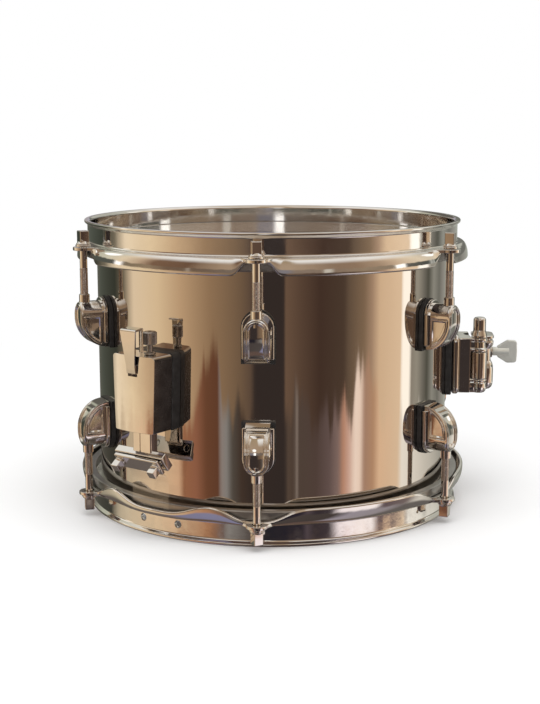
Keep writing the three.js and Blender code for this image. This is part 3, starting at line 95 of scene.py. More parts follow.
def rounded(corners, radius, steps=4):
    """A closed outline with its corners rounded, by one radius or a list of them."""
    count = len(corners)
    radii = radius if isinstance(radius, (list, tuple)) else [radius] * count
    points = []
    for i, corner in enumerate(corners):
        here = Vector(corner)
        before = Vector(corners[i - 1]) - here
        after = Vector(corners[(i + 1) % count]) - here
        angle = before.angle(after)
        reach = min(radii[i] / tan(angle / 2), 0.48 * min(before.length, after.length)) if radii[i] else 0
        if reach < 1e-3 or angle > pi - 0.02:
            points += [tuple(here)] * (steps + 1)
            continue
        before.normalize()
        after.normalize()
        centre = here + (before + after).normalized() * (reach / cos(angle / 2))
        start = here + before * reach - centre
        end = here + after * reach - centre
        turn = start.angle_signed(end)
        for step in range(steps + 1):
            arm = start.copy()
            arm.rotate(Matrix.Rotation(-turn * step / steps, 2))
            points.append(tuple(centre + arm))
    return points


def polar(radius, angle, x=0, y=0):
    return x + radius * cos(angle), y + radius * sin(angle)


def rect(left, bottom, right, top):
    return [(left, bottom), (right, bottom), (right, top), (left, top)]


def arch(width, bottom, top, steps=20):
    """An outline with a half-round top."""
    half = width / 2
    top_arc = [polar(half, pi * step / steps, 0, top - half) for step in range(steps + 1)]
    return [(-half, bottom), (half, bottom)] + top_arc



def outward(outline, start, end):
    """A prism with its outline on (y, z), from one radius to another."""
    return loft([[(x, y, z) for y, z in outline] for x in (start, end)])


def sideways(outline, start, end):
    """A prism with its outline on (x, z)."""
    return loft([[(x, y, z) for x, z in outline] for y in (start, end)])


def upward(outline, start, end):
    """A prism with its outline on (x, y)."""
    return loft([[(x, y, z) for x, y in outline] for z in (start, end)])


def box(size, centre):
    x, y, z = centre
    a, b, c = (s / 2 for s in size)
    return upward(rect(x - a, y - b, x + a, y + b), z - c, z + c)


def circle(radius, steps=32, turn=0):
    return [polar(radius, turn + tau * i / steps) for i in range(steps)]


def turned(profile, steps=32, x=0, y=0):
    """A profile of (radius, height) turned about an upright axis."""
    loops = [[(*polar(r, tau * i / steps, x, y), z) for r, z in profile] for i in range(steps)]
    return loft(loops, ring=True)


def rod_up(radius, bottom, top, x=0, y=0, steps=32):
    return upward([(x + a, y + b) for a, b in circle(radius, steps)], bottom, top)


def rod_out(radius, start, end, y=0, z=0, steps=32, turn=0):
    return outward([(y + a, z + b) for a, b in circle(radius, steps, turn)], start, end)


def rod_across(radius, start, end, x, z, steps=32):
    return sideways([(x + a, z + b) for a, b in circle(radius, steps)], start, end)


def moved(mesh, matrix):
    mesh.transform(matrix)
    return mesh


def joined(*meshes):
    """Several closed meshes kept as one, without a boolean."""
    bm = bmesh.new()
    for mesh in meshes:
        bm.from_mesh(mesh)
    result = bpy.data.meshes.new("draft")
    bm.to_mesh(result)
    bm.free()
    return result


def linked(name, data):
    """An object in the scene."""
    made = bpy.data.objects.new(name, data)
    bpy.context.scene.collection.objects.link(made)
    return made


def with_modifier(mesh, kind, **settings):
    """The mesh after one modifier."""
    holder = linked("holder", mesh)
    modifier = holder.modifiers.new(kind, kind)
    for key, value in settings.items():
        setattr(modifier, key, value)
    graph = bpy.context.evaluated_depsgraph_get()
    result = bpy.data.meshes.new_from_object(holder.evaluated_get(graph))
    bpy.data.objects.remove(holder)
    return result


def boolean(mesh, operation, *tools):
    for tool in tools:
        cutter = linked("cutter", tool)
        mesh = with_modifier(mesh, "BOOLEAN", object=cutter, operation=operation, solver="EXACT")
        bpy.data.objects.remove(cutter)
    return mesh


def cut(mesh, *tools):
    return boolean(mesh, "DIFFERENCE", *tools)


def united(mesh, *tools):
    return boolean(mesh, "UNION", *tools)


def common(mesh, *tools):
    return boolean(mesh, "INTERSECT", *tools)


def softened(mesh, width, segments=2, angle=32):
    """Edges sharper than the angle are rounded."""
    return with_modifier(
        mesh, "BEVEL", width=width, segments=segments, limit_method="ANGLE", angle_limit=radians(angle),
        miter_outer="MITER_ARC", use_clamp_overlap=True,
    )


# Places
def station(degrees, inverted=False, shift=0):
    """Where a piece drawn at azimuth 0 goes: turned about the drum, and turned over on the snare side."""
    turn = Matrix.Rotation(radians(degrees - 90), 4, "Z")
    flip = Matrix.Rotation(pi if inverted else 0, 4, "X")
    return Matrix.Translation((0, 0, -HEAD_TOP * MM)) @ turn @ flip @ Matrix.Translation((0, 0, shift * MM))


def side(inverted):
    """Where a head or hoop drawn on the batter side goes."""
    return Matrix.Translation((0, 0, -HEAD_TOP * MM)) @ Matrix.Rotation(pi if inverted else 0, 4, "Y")


def finished(mesh, material, sharp=30):
    """A drawn mesh in metres, smooth but for its sharp edges, with its material."""
    mesh.transform(Matrix.Scale(MM, 4))
    mesh.polygons.foreach_set("use_smooth", [True] * len(mesh.polygons))
    mesh.set_sharp_from_angle(angle=radians(sharp))
    mesh.materials.clear()
    mesh.materials.append(material)
    return with_modifier(mesh, "WEIGHTED_NORMAL", weight=100, keep_sharp=True)


def painted(mesh, material, chosen):
    """A second material on the faces that the test picks."""
    mesh.materials.append(material)
    for face in mesh.polygons:
        if chosen(face):
            face.material_index = len(mesh.materials) - 1
    return mesh


def add(name, mesh, place, body, node):
    piece = linked(name, mesh)
    piece.matrix_world = place
    if body:
        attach(piece, body)
    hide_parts(node)
    return piece


# Materials
NOISE_SPAN = (0.3, 0.7)
WHITE = (1, 1, 1, 1)


def made_node(tree, kind, inputs=None, **settings):
    """A shader node with its settings, and with each input set to a constant or linked to a socket."""
    made = tree.nodes.new(kind)
    for key, value in settings.items():
        setattr(made, key, value)
    for key, value in (inputs or {}).items():
        if isinstance(value, bpy.types.NodeSocket):
            tree.links.new(value, made.inputs[key])
        else:
            made.inputs[key].default_value = value
    return made


class Nodes:
    """A material with a Principled shader. A noise is given by its scale, its detail and perhaps a stretch."""

    def __init__(self, name, **values):
        self.material = bpy.data.materials.new(name)
        self.material.use_nodes = True
        self.tree = self.material.node_tree
        self.shader = self.tree.nodes["Principled BSDF"]
        self.place = self.new("ShaderNodeTexCoord").outputs["Object"]
        for key, value in values.items():
            self.shader.inputs[key.replace("_", " ")].default_value = value

    def new(self, kind, inputs=None, **settings):
        return made_node(self.tree, kind, inputs, **settings)

    def drive(self, source, name):
        self.tree.links.new(source, self.shader.inputs[name])

    def noise(self, scale, detail, stretch=None):
        where = self.place
        if stretch:
            where = self.new("ShaderNodeMapping", {"Scale": stretch, "Vector": where}).outputs["Vector"]
        return self.new("ShaderNodeTexNoise", {"Scale": scale, "Detail": detail, "Vector": where}).outputs["Fac"]

    def colour(self, noise, low, high):
        ramp = self.new("ShaderNodeValToRGB", {"Fac": self.noise(*noise)})
        for i, colour in enumerate((low, high)):
            ramp.color_ramp.elements[i].position = NOISE_SPAN[i]
            ramp.color_ramp.elements[i].color = (*colour, 1)
        self.drive(ramp.outputs["Color"], "Base Color")

    def roughness(self, noise, low, high):
        span = {"From Min": NOISE_SPAN[0], "From Max": NOISE_SPAN[1], "To Min": low, "To Max": high}
        ranged = self.new("ShaderNodeMapRange", {"Value": self.noise(*noise), **span})
        self.drive(ranged.outputs["Result"], "Roughness")

    def bump(self, layers):
        """Each layer is a noise and its depth in metres."""
        below = {}
        for noise, depth in layers:
            inputs = {"Strength": 1, "Distance": depth, "Height": self.noise(*noise), **below}
            below = {"Normal": self.new("ShaderNodeBump", inputs).outputs["Normal"]}
        self.drive(below["Normal"], "Normal")


def surface(name, colour, roughness, *layers, **values):
    """A material whose colour, roughness and bumps each follow a noise."""
    look = Nodes(name, **values)
    look.colour(*colour)
    look.roughness(*roughness)
    look.bump(layers)
    return look


def clear_film():
    """Seen straight on it is all but invisible, and at a low angle it mirrors, by Schlick's rule."""
    look = surface(
        "clear_film", ((30, 3), (0.90, 0.91, 0.93), (0.97, 0.98, 0.99)), ((60, 5), 0.01, 0.03),
        ((16, 1), 0.000004), Metallic=1,
    )
    facing = look.new("ShaderNodeLayerWeight", {"Blend": 0.5}).outputs["Facing"]
    power = look.new("ShaderNodeMath", {0: facing, 1: 5}, operation="POWER").outputs["Value"]
    alpha = look.new("ShaderNodeMath", {0: power, 1: 0.95, 2: 0.05}, operation="MULTIPLY_ADD").outputs["Value"]
    look.drive(alpha, "Alpha")
    return look.material


CHROME = surface(
    "chrome", ((45, 4), (0.74, 0.71, 0.68), (0.82, 0.80, 0.77)), ((150, 5), 0.035, 0.10),
    ((260, 2), 0.000012), ((30, 1), 0.00003), Metallic=1,
).material
ENAMEL = surface(
    "black_enamel", ((120, 4), (0.010, 0.008, 0.007), (0.026, 0.021, 0.019)), ((200, 4), 0.12, 0.3),
    ((700, 2), 0.000006), Metallic=0, Coat_Weight=0.4, Coat_Roughness=0.06,
).material
SATIN = surface(
    "satin_steel", ((150, 4), (0.66, 0.67, 0.62), (0.76, 0.77, 0.72)), ((400, 4), 0.3, 0.42),
    ((800, 3), 0.000015), Metallic=0.55,
).material
THREAD = surface(
    "thread_steel", ((250, 4), (0.56, 0.50, 0.46), (0.70, 0.64, 0.59)), ((400, 4), 0.16, 0.28),
    ((900, 2), 0.00001), Metallic=1,
).material
SHELL = surface(
    "shell_plate", ((18, 4, (1, 1, 0.25)), (0.66, 0.61, 0.56), (0.72, 0.67, 0.62)),
    ((90, 5, (1, 1, 0.3)), 0.02, 0.055), ((14, 1, (1, 1, 0.35)), 0.00006), ((420, 2), 0.0000015), Metallic=1,
).material
FILM = clear_film()
RUBBER = surface(
    "rubber", ((220, 4), (0.012, 0.011, 0.011), (0.03, 0.028, 0.027)), ((160, 4), 0.38, 0.6),
    ((900, 3), 0.00003), Metallic=0,
).material
# Flesh-hoop metal, its colour darkened well below bare metal as painted shade for the gutter between the shell and
# the hoop collar
ALUMINIUM_IN_PAINTED_SHADE = surface(
    "aluminium", ((60, 4), (0.34, 0.33, 0.32), (0.46, 0.45, 0.44)), ((300, 4, (1, 1, 12)), 0.3, 0.42),
    ((400, 2, (1, 1, 14)), 0.00001), Metallic=1,
).material
KNURLED = surface(
    "knurled_steel", ((300, 4), (0.34, 0.32, 0.30), (0.50, 0.47, 0.45)), ((500, 4), 0.24, 0.42),
    ((1500, 3), 0.00002), Metallic=1,
).material
WIRE = surface(
    "snare_steel", ((200, 3), (0.58, 0.58, 0.57), (0.72, 0.72, 0.71)), ((700, 3), 0.16, 0.3),
    ((1200, 2), 0.00001), Metallic=1,
).material

# Shell
EDGE_CHAMFER = 1.4
EDGE_FLANGE = 6.5
crown = SHELL_RADIUS - EDGE_CHAMFER
tip = crown - EDGE_FLANGE
slant = SHELL_WALL * sqrt(2)
upper = [
    (SHELL_RADIUS, HALF_SHELL - EDGE_CHAMFER), (crown, HALF_SHELL), (tip, HALF_SHELL - EDGE_FLANGE),
    (tip, HALF_SHELL - EDGE_FLANGE - slant),
    (SHELL_RADIUS - SHELL_WALL, HALF_SHELL - slant + EDGE_CHAMFER - SHELL_WALL),
]
wall = upper + [(r, -z) for r, z in reversed(upper)]
radii = [1.2, 0.5, 0.3, 0.3, 1.6]
shell = turned(rounded(wall, radii + radii[::-1], 4), 360)
add("drum_shell", finished(shell, SHELL), side(False), "drum", "shell")

# Heads: film with a crimped collar over the bearing edge, and an aluminium flesh hoop whose colour carries painted
# shade
FILM_THICKNESS = 0.3
FLESH_INNER = 131.1
FLESH_OUTER = 136.6
FLESH_TOP = 84.4
FLESH_HEIGHT = 6.5
edge = crown + 1
foot = FLESH_INNER - 0.3
film = turned(
    rounded(
        [
            (0, HEAD_TOP - FILM_THICKNESS), (edge - FILM_THICKNESS, HEAD_TOP - FILM_THICKNESS),
            (foot - FILM_THICKNESS, HEAD_TOP - 5.3), (foot, HEAD_TOP - 5.3), (edge, HEAD_TOP), (0, HEAD_TOP),
        ],
        [0, 2.2, 0.05, 0.05, 2.5, 0],
        6,
    ),
    240,
)
flesh = turned(rounded(rect(FLESH_INNER, FLESH_TOP - FLESH_HEIGHT, FLESH_OUTER, FLESH_TOP), 1.1, 4), 240)
film = finished(film, FILM, 40)
flesh = finished(flesh, ALUMINIUM_IN_PAINTED_SHADE)
for name, inverted in (("batter", False), ("snare_side", True)):
    add(name + "_head_film", film, side(inverted), "drum", name + "_film")
    add(name + "_head_ring", flesh, side(inverted), "drum", name + "_flesh_hoop")

# Triple-flanged hoops
HOOP_SHEET = 2.3
HOOP_WALL = 133.3
LIP_RADIUS = 135.4
LIP_TOP = 102.5
LIP_WIDTH = 2.8
LIP_THICKNESS = 1.6
LIP_FLARE = 2.6
LIP_SLOPE = 1.5
LEDGE_TOP = 87.0
LEDGE_UNDER = LEDGE_TOP - HOOP_SHEET
COLLAR = 141.0
COLLAR_DEPTH = 11.4
DEPTH_AT_EAR = 3.0
DEPTH_AT_GATE = 4.4
# Width and power of the dip at an ear: batter hoop, snare-side hoop
EAR_DIPS = ((4.9, 5), (8.4, 2.8))
GATE_DIP = 12.5
EAR_ROOT = 21.0
EAR_TIP = 7.0
EAR_HOLE = 3.4
ROD_CIRCLE = 143.5
STRAP_RADIUS = 137.1
CREST_HEIGHT = 10.1
CREST_REACH = 4.6
# Close together at the ear, where the collar dips
HOOP_STEPS = [
    *range(-30, -9), *[-9.6 + 0.4 * step for step in range(49)], *range(10, 30),
]


def apart(a, b):
    between = abs(a - b) % 360
    return min(between, 360 - between)


def collar_depth(degrees, gates):
    from_ear = min(apart(degrees, lug) for lug in LUGS)
    width, power = EAR_DIPS[1 if gates else 0]
    ear_dip = (COLLAR_DEPTH - DEPTH_AT_EAR) * exp(-((from_ear / width) ** power))
    from_gate = min([180] + [apart(degrees, gate) for gate in gates])
    gate_dip = (COLLAR_DEPTH - DEPTH_AT_GATE) * exp(-((from_gate / GATE_DIP) ** 4))
    return COLLAR_DEPTH - max(ear_dip, gate_dip)


def hoop_section(depth):
    """The sheet cut through: a flared lip, an upright wall, a ledge, and a collar whose crest rolls over."""
    inner = HOOP_WALL - HOOP_SHEET
    high = min(CREST_HEIGHT, depth - 1.3)
    reach = CREST_REACH * (0.25 + 0.75 * high / CREST_HEIGHT)
    turns = [radians(90 * step / 9) for step in range(10)]
    crest = [(COLLAR - reach + reach * cos(a), LEDGE_TOP - high + high * sin(a)) for a in turns]
    bottom = rounded(
        [
            (inner, LEDGE_UNDER), (COLLAR - HOOP_SHEET, LEDGE_UNDER), (COLLAR - HOOP_SHEET, LEDGE_TOP - depth),
            (COLLAR, LEDGE_TOP - depth), (COLLAR, LEDGE_TOP), (inner, LEDGE_TOP),
        ],
        [1.2, 0.5, 0.5, 1.1, 0, 0],
        5,
    )[:24]
    return bottom + crest + rounded(
        [
            (COLLAR - 4, LEDGE_TOP), (HOOP_WALL, LEDGE_TOP),
            (HOOP_WALL, LIP_TOP - LIP_FLARE - LIP_THICKNESS / 2), (LIP_RADIUS, LIP_TOP - LIP_THICKNESS),
            (LIP_RADIUS, LIP_TOP), (LIP_RADIUS - LIP_WIDTH, LIP_TOP), (inner, LIP_TOP - LIP_SLOPE),
            (inner, LEDGE_TOP),
        ],
        [0, 1.6, 1.5, 0.75, 0.75, 1.3, 2.0, 0],
        5,
    )[6:-6]


def ear():
    half = EAR_ROOT / 2
    root = COLLAR - HOOP_SHEET
    waist = (half + EAR_TIP) / 2
    steps = 8
    flank = []
    for i in range(steps):
        t = i / steps
        x = (1 - t) ** 2 * root + 2 * t * (1 - t) * COLLAR + t * t * ROD_CIRCLE
        y = (1 - t) ** 2 * half + 2 * t * (1 - t) * waist + t * t * EAR_TIP
        flank.append((x, y))
    end = [polar(EAR_TIP, radians(-90 + 180 * i / 20), ROD_CIRCLE) for i in range(21)]
    outline = [(x, -y) for x, y in flank] + end + [(x, y) for x, y in reversed(flank)]
    return softened(upward(outline, LEDGE_UNDER - 0.04, LEDGE_TOP + 0.04), 0.6, 3)


def about(mesh, degrees):
    return moved(mesh, Matrix.Rotation(radians(degrees - 90), 4, "Z"))


def hoop(gates, straps, hangers):
    mesh = loft([
        [(*polar(r, radians(degrees - 90)), z) for r, z in hoop_section(collar_depth(degrees, gates))]
        for degrees in (lug + step for lug in LUGS for step in HOOP_STEPS)
    ], ring=True)
    mesh = united(mesh, joined(*[about(ear(), lug) for lug in LUGS]))
    tools = [about(rod_up(EAR_HOLE, LEDGE_UNDER - 5, LEDGE_TOP + 5, ROD_CIRCLE), lug) for lug in LUGS]
    for strap in straps:
        slot = box((11, 35, 4.5), (COLLAR - HOOP_SHEET - 5.5, 0, LEDGE_UNDER - 0.3 + 2.25))
        tools.append(about(slot, strap))
    for gate in gates:
        for y in (-14.8, 14.8):
            tools.append(about(rod_out(2.7, 126, 137, y, LIP_TOP - 10), gate))
    for hanger in hangers:
        tools.append(about(rod_out(1.3, 126, 137, 0, LIP_TOP - 10), hanger))
    return cut(mesh, joined(*tools))


batter_hoop = finished(hoop([], [], []), CHROME, 34)
snare_hoop = finished(hoop([-GATE, 180 - GATE], [-STRAINER, -BUTT], [-52.2]), CHROME, 34)
add("batter_rim", batter_hoop, side(False), "drum", "batter_hoop")
add("snare_side_rim", snare_hoop, side(True), "drum", "snare_side_hoop")

# Lugs: an arched nose with a raised border, sunk front and cheek panels, a wider flange and a nut neck
LUG_SEAT = 130.0
LUG_FACE = 148.3
LUG_TOP = 49.8
LUG_BOTTOM = 18.2
LUG_WIDTH = 16.2
SWEEP = 20.0
FLANGE_TOP = 52.15
FLANGE_BOTTOM = 21.15
FLANGE_WIDTH = 20.9
FLANGE_THICKNESS = 3.0


def ramp(value, low, high):
    t = max(0.0, min(1.0, (value - low) / (high - low)))
    return t * t * (3 - 2 * t)


def lug_relief(y, z):
    """How deep the face is sunk: a border, a groove, a ridge, and a hollow panel."""
    half = LUG_WIDTH / 2
    spring = LUG_TOP - half
    from_edge = half - (hypot(y, z - spring) if z > spring else abs(y))
    from_edge = min(from_edge, (z - LUG_BOTTOM) * 0.55)
    groove = 0.55 * (ramp(from_edge, 1.0, 1.5) - ramp(from_edge, 1.8, 2.3))
    hollow = 0.4 * max(0.0, 1 - (y / (half - 3.6)) ** 2)
    return groove + (0.95 + hollow) * ramp(from_edge, 2.9, 3.7)


def lug_column(y, top, inset=0.0, relief=True):
    """The lug cut through beside its middle: a sweep up to an upright face, a rounded top and a straight back."""
    back = LUG_SEAT + 0.3 + (FLANGE_THICKNESS + 0.2 + 0.6 * inset if inset > 1 else 0)
    deep = LUG_FACE - LUG_SEAT - inset
    tall = SWEEP - inset
    centre = LUG_BOTTOM + SWEEP
    first = -acos((back - LUG_SEAT) / deep)
    corner = max(0.5, 2.4 - inset)
    high = top - inset
    face = LUG_SEAT + deep
    points = []
    for step in range(40):
        a = first * (1 - step / 40)
        out, up = cos(a), sin(a)
        points.append((LUG_SEAT + deep * out, centre + tall * up, out / deep, up / tall))
    for step in range(30):
        points.append((face, centre + (high - corner - centre) * step / 30, 1, 0))
    for step in range(7):
        a = radians(90 * step / 6)
        out, up = cos(a), sin(a)
        points.append((face - corner + corner * out, high - corner + corner * up, out, up))
    loop = []
    for x, z, along_x, along_z in points:
        sunk = lug_relief(y, z) / hypot(along_x, along_z) if relief else 0
        loop.append((x - sunk * along_x, y, z - sunk * along_z))
    return loop + [(back, y, high)]


def lug_nose():
    half = LUG_WIDTH / 2
    spring = LUG_TOP - half
    # Each column stands so far beside the middle, and is drawn in by its inset
    cheek = [
        (7.0, 3.9), (7.1, 3.5), (7.95, 2.9), (8.05, 2.6), (8.05, 2.2), (7.95, 2.0),
        (7.55, 1.8), (7.6, 1.6), (8.05, 1.3), (8.1, 1.0), (8.1, 0.6),
    ]

    def on_arch(degrees):
        a = radians(degrees)
        return half * sin(a), spring + half * cos(a)

    edge = [(*on_arch(degrees), by) for degrees, by in ((88, 0.36), (85, 0.16), (82, 0.05))]
    left = [lug_column(-y, spring, by, False) for y, by in cheek]
    left += [lug_column(-y, top, by, False) for y, top, by in edge]
    right = [lug_column(y, top, by, False) for y, top, by in reversed(edge)]
    right += [lug_column(y, spring, by, False) for y, by in reversed(cheek)]
    return loft(left + [lug_column(*on_arch(degrees)) for degrees in range(-80, 81, 2)] + right)


SCREW_RADIUS = 2.2
SCREW_HEAD = 4.4
SCREW_WASHER = 5.4


def inner_screw(to, y, z):
    """A hexagonal screw head inside the shell, with its shank and a flat washer."""
    wall_x = SHELL_RADIUS - SHELL_WALL
    start = wall_x - 0.3 - 2.6 - 2 * (wall_x - sqrt(wall_x ** 2 - y ** 2))
    shank = rod_out(SCREW_RADIUS, start, to + 0.3, y, z, 20)
    head = softened(rod_out(SCREW_HEAD, start, start + 2.2, y, z, 6, pi / 6), 0.35, 2)
    washer = softened(rod_out(SCREW_WASHER, start + 2.1, start + 2.7, y, z, 32), 0.15, 1)
    return joined(shank, head, washer)


def lug():
    flange = outward(arch(FLANGE_WIDTH, FLANGE_BOTTOM, FLANGE_TOP, 32), LUG_SEAT, LUG_SEAT + FLANGE_THICKNESS)
    neck_top = LUG_TOP + 4.8
    neck = turned(
        rounded([(2.9, 44), (3.8, 44), (3.6, neck_top), (2.9, neck_top)], [0, 0, 0.6, 0.2], 3), 32, ROD_CIRCLE,
    )
    nose = cut(lug_nose(), rod_up(2.95, 36.6, 56, ROD_CIRCLE))
    return joined(nose, softened(flange, 0.8, 3, 40), neck, inner_screw(LUG_SEAT, 0, LUG_TOP - 15.8))


def shell_x(y):
    """How far out a pad's back lies, beside its middle."""
    return sqrt((SHELL_RADIUS + PAD_GAP) ** 2 - y * y)


def pad(outline_at, front, soft):
    """A pad from the shell to a flat front with a soft edge. outline_at gives its outline, drawn in by an amount."""
    def loop(by, x=None):
        return [(x if x else shell_x(y), y, z) for y, z in outline_at(by)]

    return loft([loop(0), loop(0, front - soft), loop(soft * 0.3, front - soft * 0.3), loop(soft, front)])


ROD_SEAT = LEDGE_TOP + 0.3
ROD_END = ROD_SEAT - 49
ROD_RADIUS = 2.6
THREAD_TOP = ROD_END + 34
THREAD_BOTTOM = 46
THREAD_PITCH = 0.8
THREAD_ROOT = 2.62
THREAD_DEPTH = 0.16
THREAD_SIDES = 16
WASHER_RADIUS = 5.2
WASHER_TOP = ROD_SEAT + 1.4
KEY_HALF = 3.2
KEY_HEIGHT = 7
KEY_TURNS = {"batter": (14, 12, -18, 30, -8, 5), "snare": (-30, -12, 38, 9, -25, 14)}


def on_rod(outline, radii, steps=32, smooth=3):
    return turned(rounded(outline, radii, smooth), steps, ROD_CIRCLE)


def tension_rod():
    """Threaded rod with a washer, a flange and a square key head."""
    length = THREAD_TOP - THREAD_BOTTOM
    rows = int(length / THREAD_PITCH * 4)
    loops = []
    for row in range(rows + 1):
        z = THREAD_BOTTOM + length * row / rows
        loop = []
        for i in range(THREAD_SIDES):
            phase = (z / THREAD_PITCH - i / THREAD_SIDES) % 1
            r = THREAD_ROOT + THREAD_DEPTH * (1 - abs(2 * phase - 1))
            loop.append((*polar(r, tau * i / THREAD_SIDES, ROD_CIRCLE), z))
        loops.append(loop)
    flange_top = ROD_SEAT + 3.8
    flange = [(0, WASHER_TOP), (4.7, WASHER_TOP), (4.7, ROD_SEAT + 2.1), (3.0, flange_top), (0, flange_top)]
    head = rounded(rect(-KEY_HALF, -KEY_HALF, KEY_HALF, KEY_HALF), 0.5, 3)
    head = upward([(ROD_CIRCLE + x, y) for x, y in head], flange_top - 1.2, flange_top + KEY_HEIGHT)
    return joined(
        loft(loops),
        on_rod(rect(0, ROD_END, ROD_RADIUS, THREAD_BOTTOM + 0.2), [0, 0.6, 0, 0], THREAD_SIDES),
        on_rod(rect(0, THREAD_TOP - 0.2, ROD_RADIUS, ROD_SEAT + 1), [0, 0.5, 0, 0]),
        on_rod(rect(ROD_RADIUS, ROD_SEAT, WASHER_RADIUS, WASHER_TOP), 0.35, 40),
        on_rod(flange, [0, 0.3, 0.5, 0.8, 0], 40, 4),
        softened(head, 0.7, 3, 40),
    )


lug_mesh = finished(lug(), CHROME, 50)
GASKET_WIDTH = 22.5
GASKET_BOTTOM = 17.8
GASKET_TOP = 52.95
gasket = pad(lambda by: arch(GASKET_WIDTH - by * 2, GASKET_BOTTOM + by, GASKET_TOP - by), 129.7, 0.5)
gasket_mesh = finished(gasket, RUBBER, 40)
rod_mesh = painted(
    finished(tension_rod(), CHROME, 40), THREAD,
    lambda face: face.center.z < THREAD_TOP * MM and abs(face.normal.z) > 0.05,
)
for index, degrees in enumerate(LUGS):
    for name, inverted in (("batter", False), ("snare", True)):
        tag = f"{name}_{index + 1}"
        shift = LOWER_LUG_SHIFT if inverted else 0
        spot = station(degrees, inverted, shift)
        add("lug_body_" + tag, lug_mesh, spot, "drum", "lug_" + tag)
        add("lug_pad_" + tag, gasket_mesh, spot, "drum", "lug_gasket_" + tag)
        axis = Matrix.Translation((ROD_CIRCLE * MM, 0, 0))
        turned_key = axis @ Matrix.Rotation(radians(KEY_TURNS[name][index]), 4, "Z") @ axis.inverted()
        rod = "tension_rod_" + tag
        add("key_rod_" + tag, rod_mesh, station(degrees, inverted) @ turned_key, rod, rod)

# Strainer
STRAINER_SEAT = 134.0
HOUSING_TOP = 22.5
HOUSING_BOTTOM = -28.2
HOUSING_FRONT = 153.5
HOUSING_CROWN = 3.6
CHANNEL_BACK = 140.0
CHANNEL_FRONT = 147.5
PIVOT_X = 150.6
PIVOT_Z = 13.8
LEVER_Y = 0.8
LEVER_SLOT = (14, 8.0, 8.4)
THUMB_Y = 7.5
THUMB_HOLE = 2.3
SLIDE_X = 143.75
SLIDE_DEPTH = 6.9


def housing_outline(margin=0.0):
    top = HOUSING_TOP + margin
    bottom = HOUSING_BOTTOM - margin
    wide = 18.3 + margin
    narrow = 16.4 + margin
    return rounded([(-narrow, bottom), (narrow, bottom), (wide, top), (-wide, top)], [1.2, 1.2, 3.0, 3.0], 5)


def crowned(half):
    """The housing seen from above, with its bowed front."""
    bow = []
    for i in range(17):
        t = i / 16
        x = HOUSING_FRONT - HOUSING_CROWN + 4 * HOUSING_CROWN * t * (1 - t)
        bow.append((x, -half + 2 * half * t))
    corners = [(STRAINER_SEAT - 1, -half)] + bow + [(STRAINER_SEAT - 1, half)]
    return rounded(corners, [0, 2.2] + [0] * 15 + [2.2, 0], 6)


base_pad = loft([
    [(shell_x(y), y, z) for y, z in housing_outline(0.4)],
    [(133.2, y, z) for y, z in housing_outline(0.4)],
    [(133.7, y, z) for y, z in housing_outline(-0.1)],
])
housing = outward(housing_outline(), STRAINER_SEAT, HOUSING_FRONT + 6)
housing = common(housing, upward(crowned(23.3), -40, 40))
housing = softened(housing, 1.0, 3, 40)
housing = cut(
    housing,
    box(
        (CHANNEL_FRONT - CHANNEL_BACK, 23, 60),
        ((CHANNEL_FRONT + CHANNEL_BACK) / 2, 0, HOUSING_TOP - 3 - 30),
    ),
    box(LEVER_SLOT, (CHANNEL_FRONT + 6.7, LEVER_Y, 13.0)),
    rod_across(1.6, LEVER_Y - 7.3, LEVER_Y + 7.3, PIVOT_X, PIVOT_Z),
    rod_up(THUMB_HOLE, 15, 30, SLIDE_X, THUMB_Y),
)
housing_mesh = joined(housing, *[inner_screw(STRAINER_SEAT, y, -2.85) for y in (-14.5, 14.5)])

LEVER_STANDOFF = 0.6
LEVER_LEAN = 2.4
BLADE_RISE = 27
FOOT_HALF = 3.7
HEAD_HALF = 6.7
foot_x = HOUSING_FRONT + LEVER_STANDOFF
head_x = foot_x + LEVER_LEAN
blade_top = PIVOT_Z + BLADE_RISE
SHEET = 1.2
FOLD = 7.0
LIP_DROP = 0.8
lever_profile = rounded(
    [
        (PIVOT_X, PIVOT_Z - 1.3), (foot_x, PIVOT_Z - 3), (foot_x + SHEET / 2, PIVOT_Z - 3),
        (foot_x + SHEET, PIVOT_Z), (head_x + SHEET, blade_top - LIP_DROP), (head_x - FOLD, blade_top),
        (head_x - FOLD, blade_top - SHEET), (head_x, blade_top - LIP_DROP - SHEET), (foot_x, PIVOT_Z + 2.6),
        (PIVOT_X, PIVOT_Z + 2.6),
    ],
    [0.3, 0.3, 0.3, 3, 1.6, 0.6, 0.6, 0.8, 0.6, 0.3],
    4,
)
lever_face = rounded(
    [
        (LEVER_Y - FOOT_HALF, PIVOT_Z - 9), (LEVER_Y + FOOT_HALF, PIVOT_Z - 9),
        (LEVER_Y + FOOT_HALF, PIVOT_Z + 2.6), (LEVER_Y + HEAD_HALF, blade_top),
        (LEVER_Y - HEAD_HALF, blade_top), (LEVER_Y - FOOT_HALF, PIVOT_Z + 2.6),
    ],
    [0, 0, 8, 1.4, 1.4, 8],
    5,
)
blade = sideways(lever_profile, LEVER_Y - 7, LEVER_Y + 7)
blade = common(blade, outward(lever_face, CHANNEL_FRONT, CHANNEL_FRONT + 20))
blade = softened(blade, 0.4, 2, 40)
tongue = softened(box((SHEET, 3.4, 16), (head_x - FOLD + SHEET / 2, LEVER_Y + 5.0, blade_top - 8.2)), 0.5, 2)
hub = softened(rod_across(2.6, LEVER_Y - FOOT_HALF, LEVER_Y + FOOT_HALF, PIVOT_X, PIVOT_Z), 0.4, 2)
pin = softened(rod_across(1.3, LEVER_Y - 7, LEVER_Y + 7, PIVOT_X, PIVOT_Z), 0.3, 2)
lever_mesh = joined(blade, tongue, hub, pin)


KNURL_RIDGES = 30
KNURL_STEPS = 6
KNURL_DEPTH = 0.3
KNOB_RADIUS = 4.5


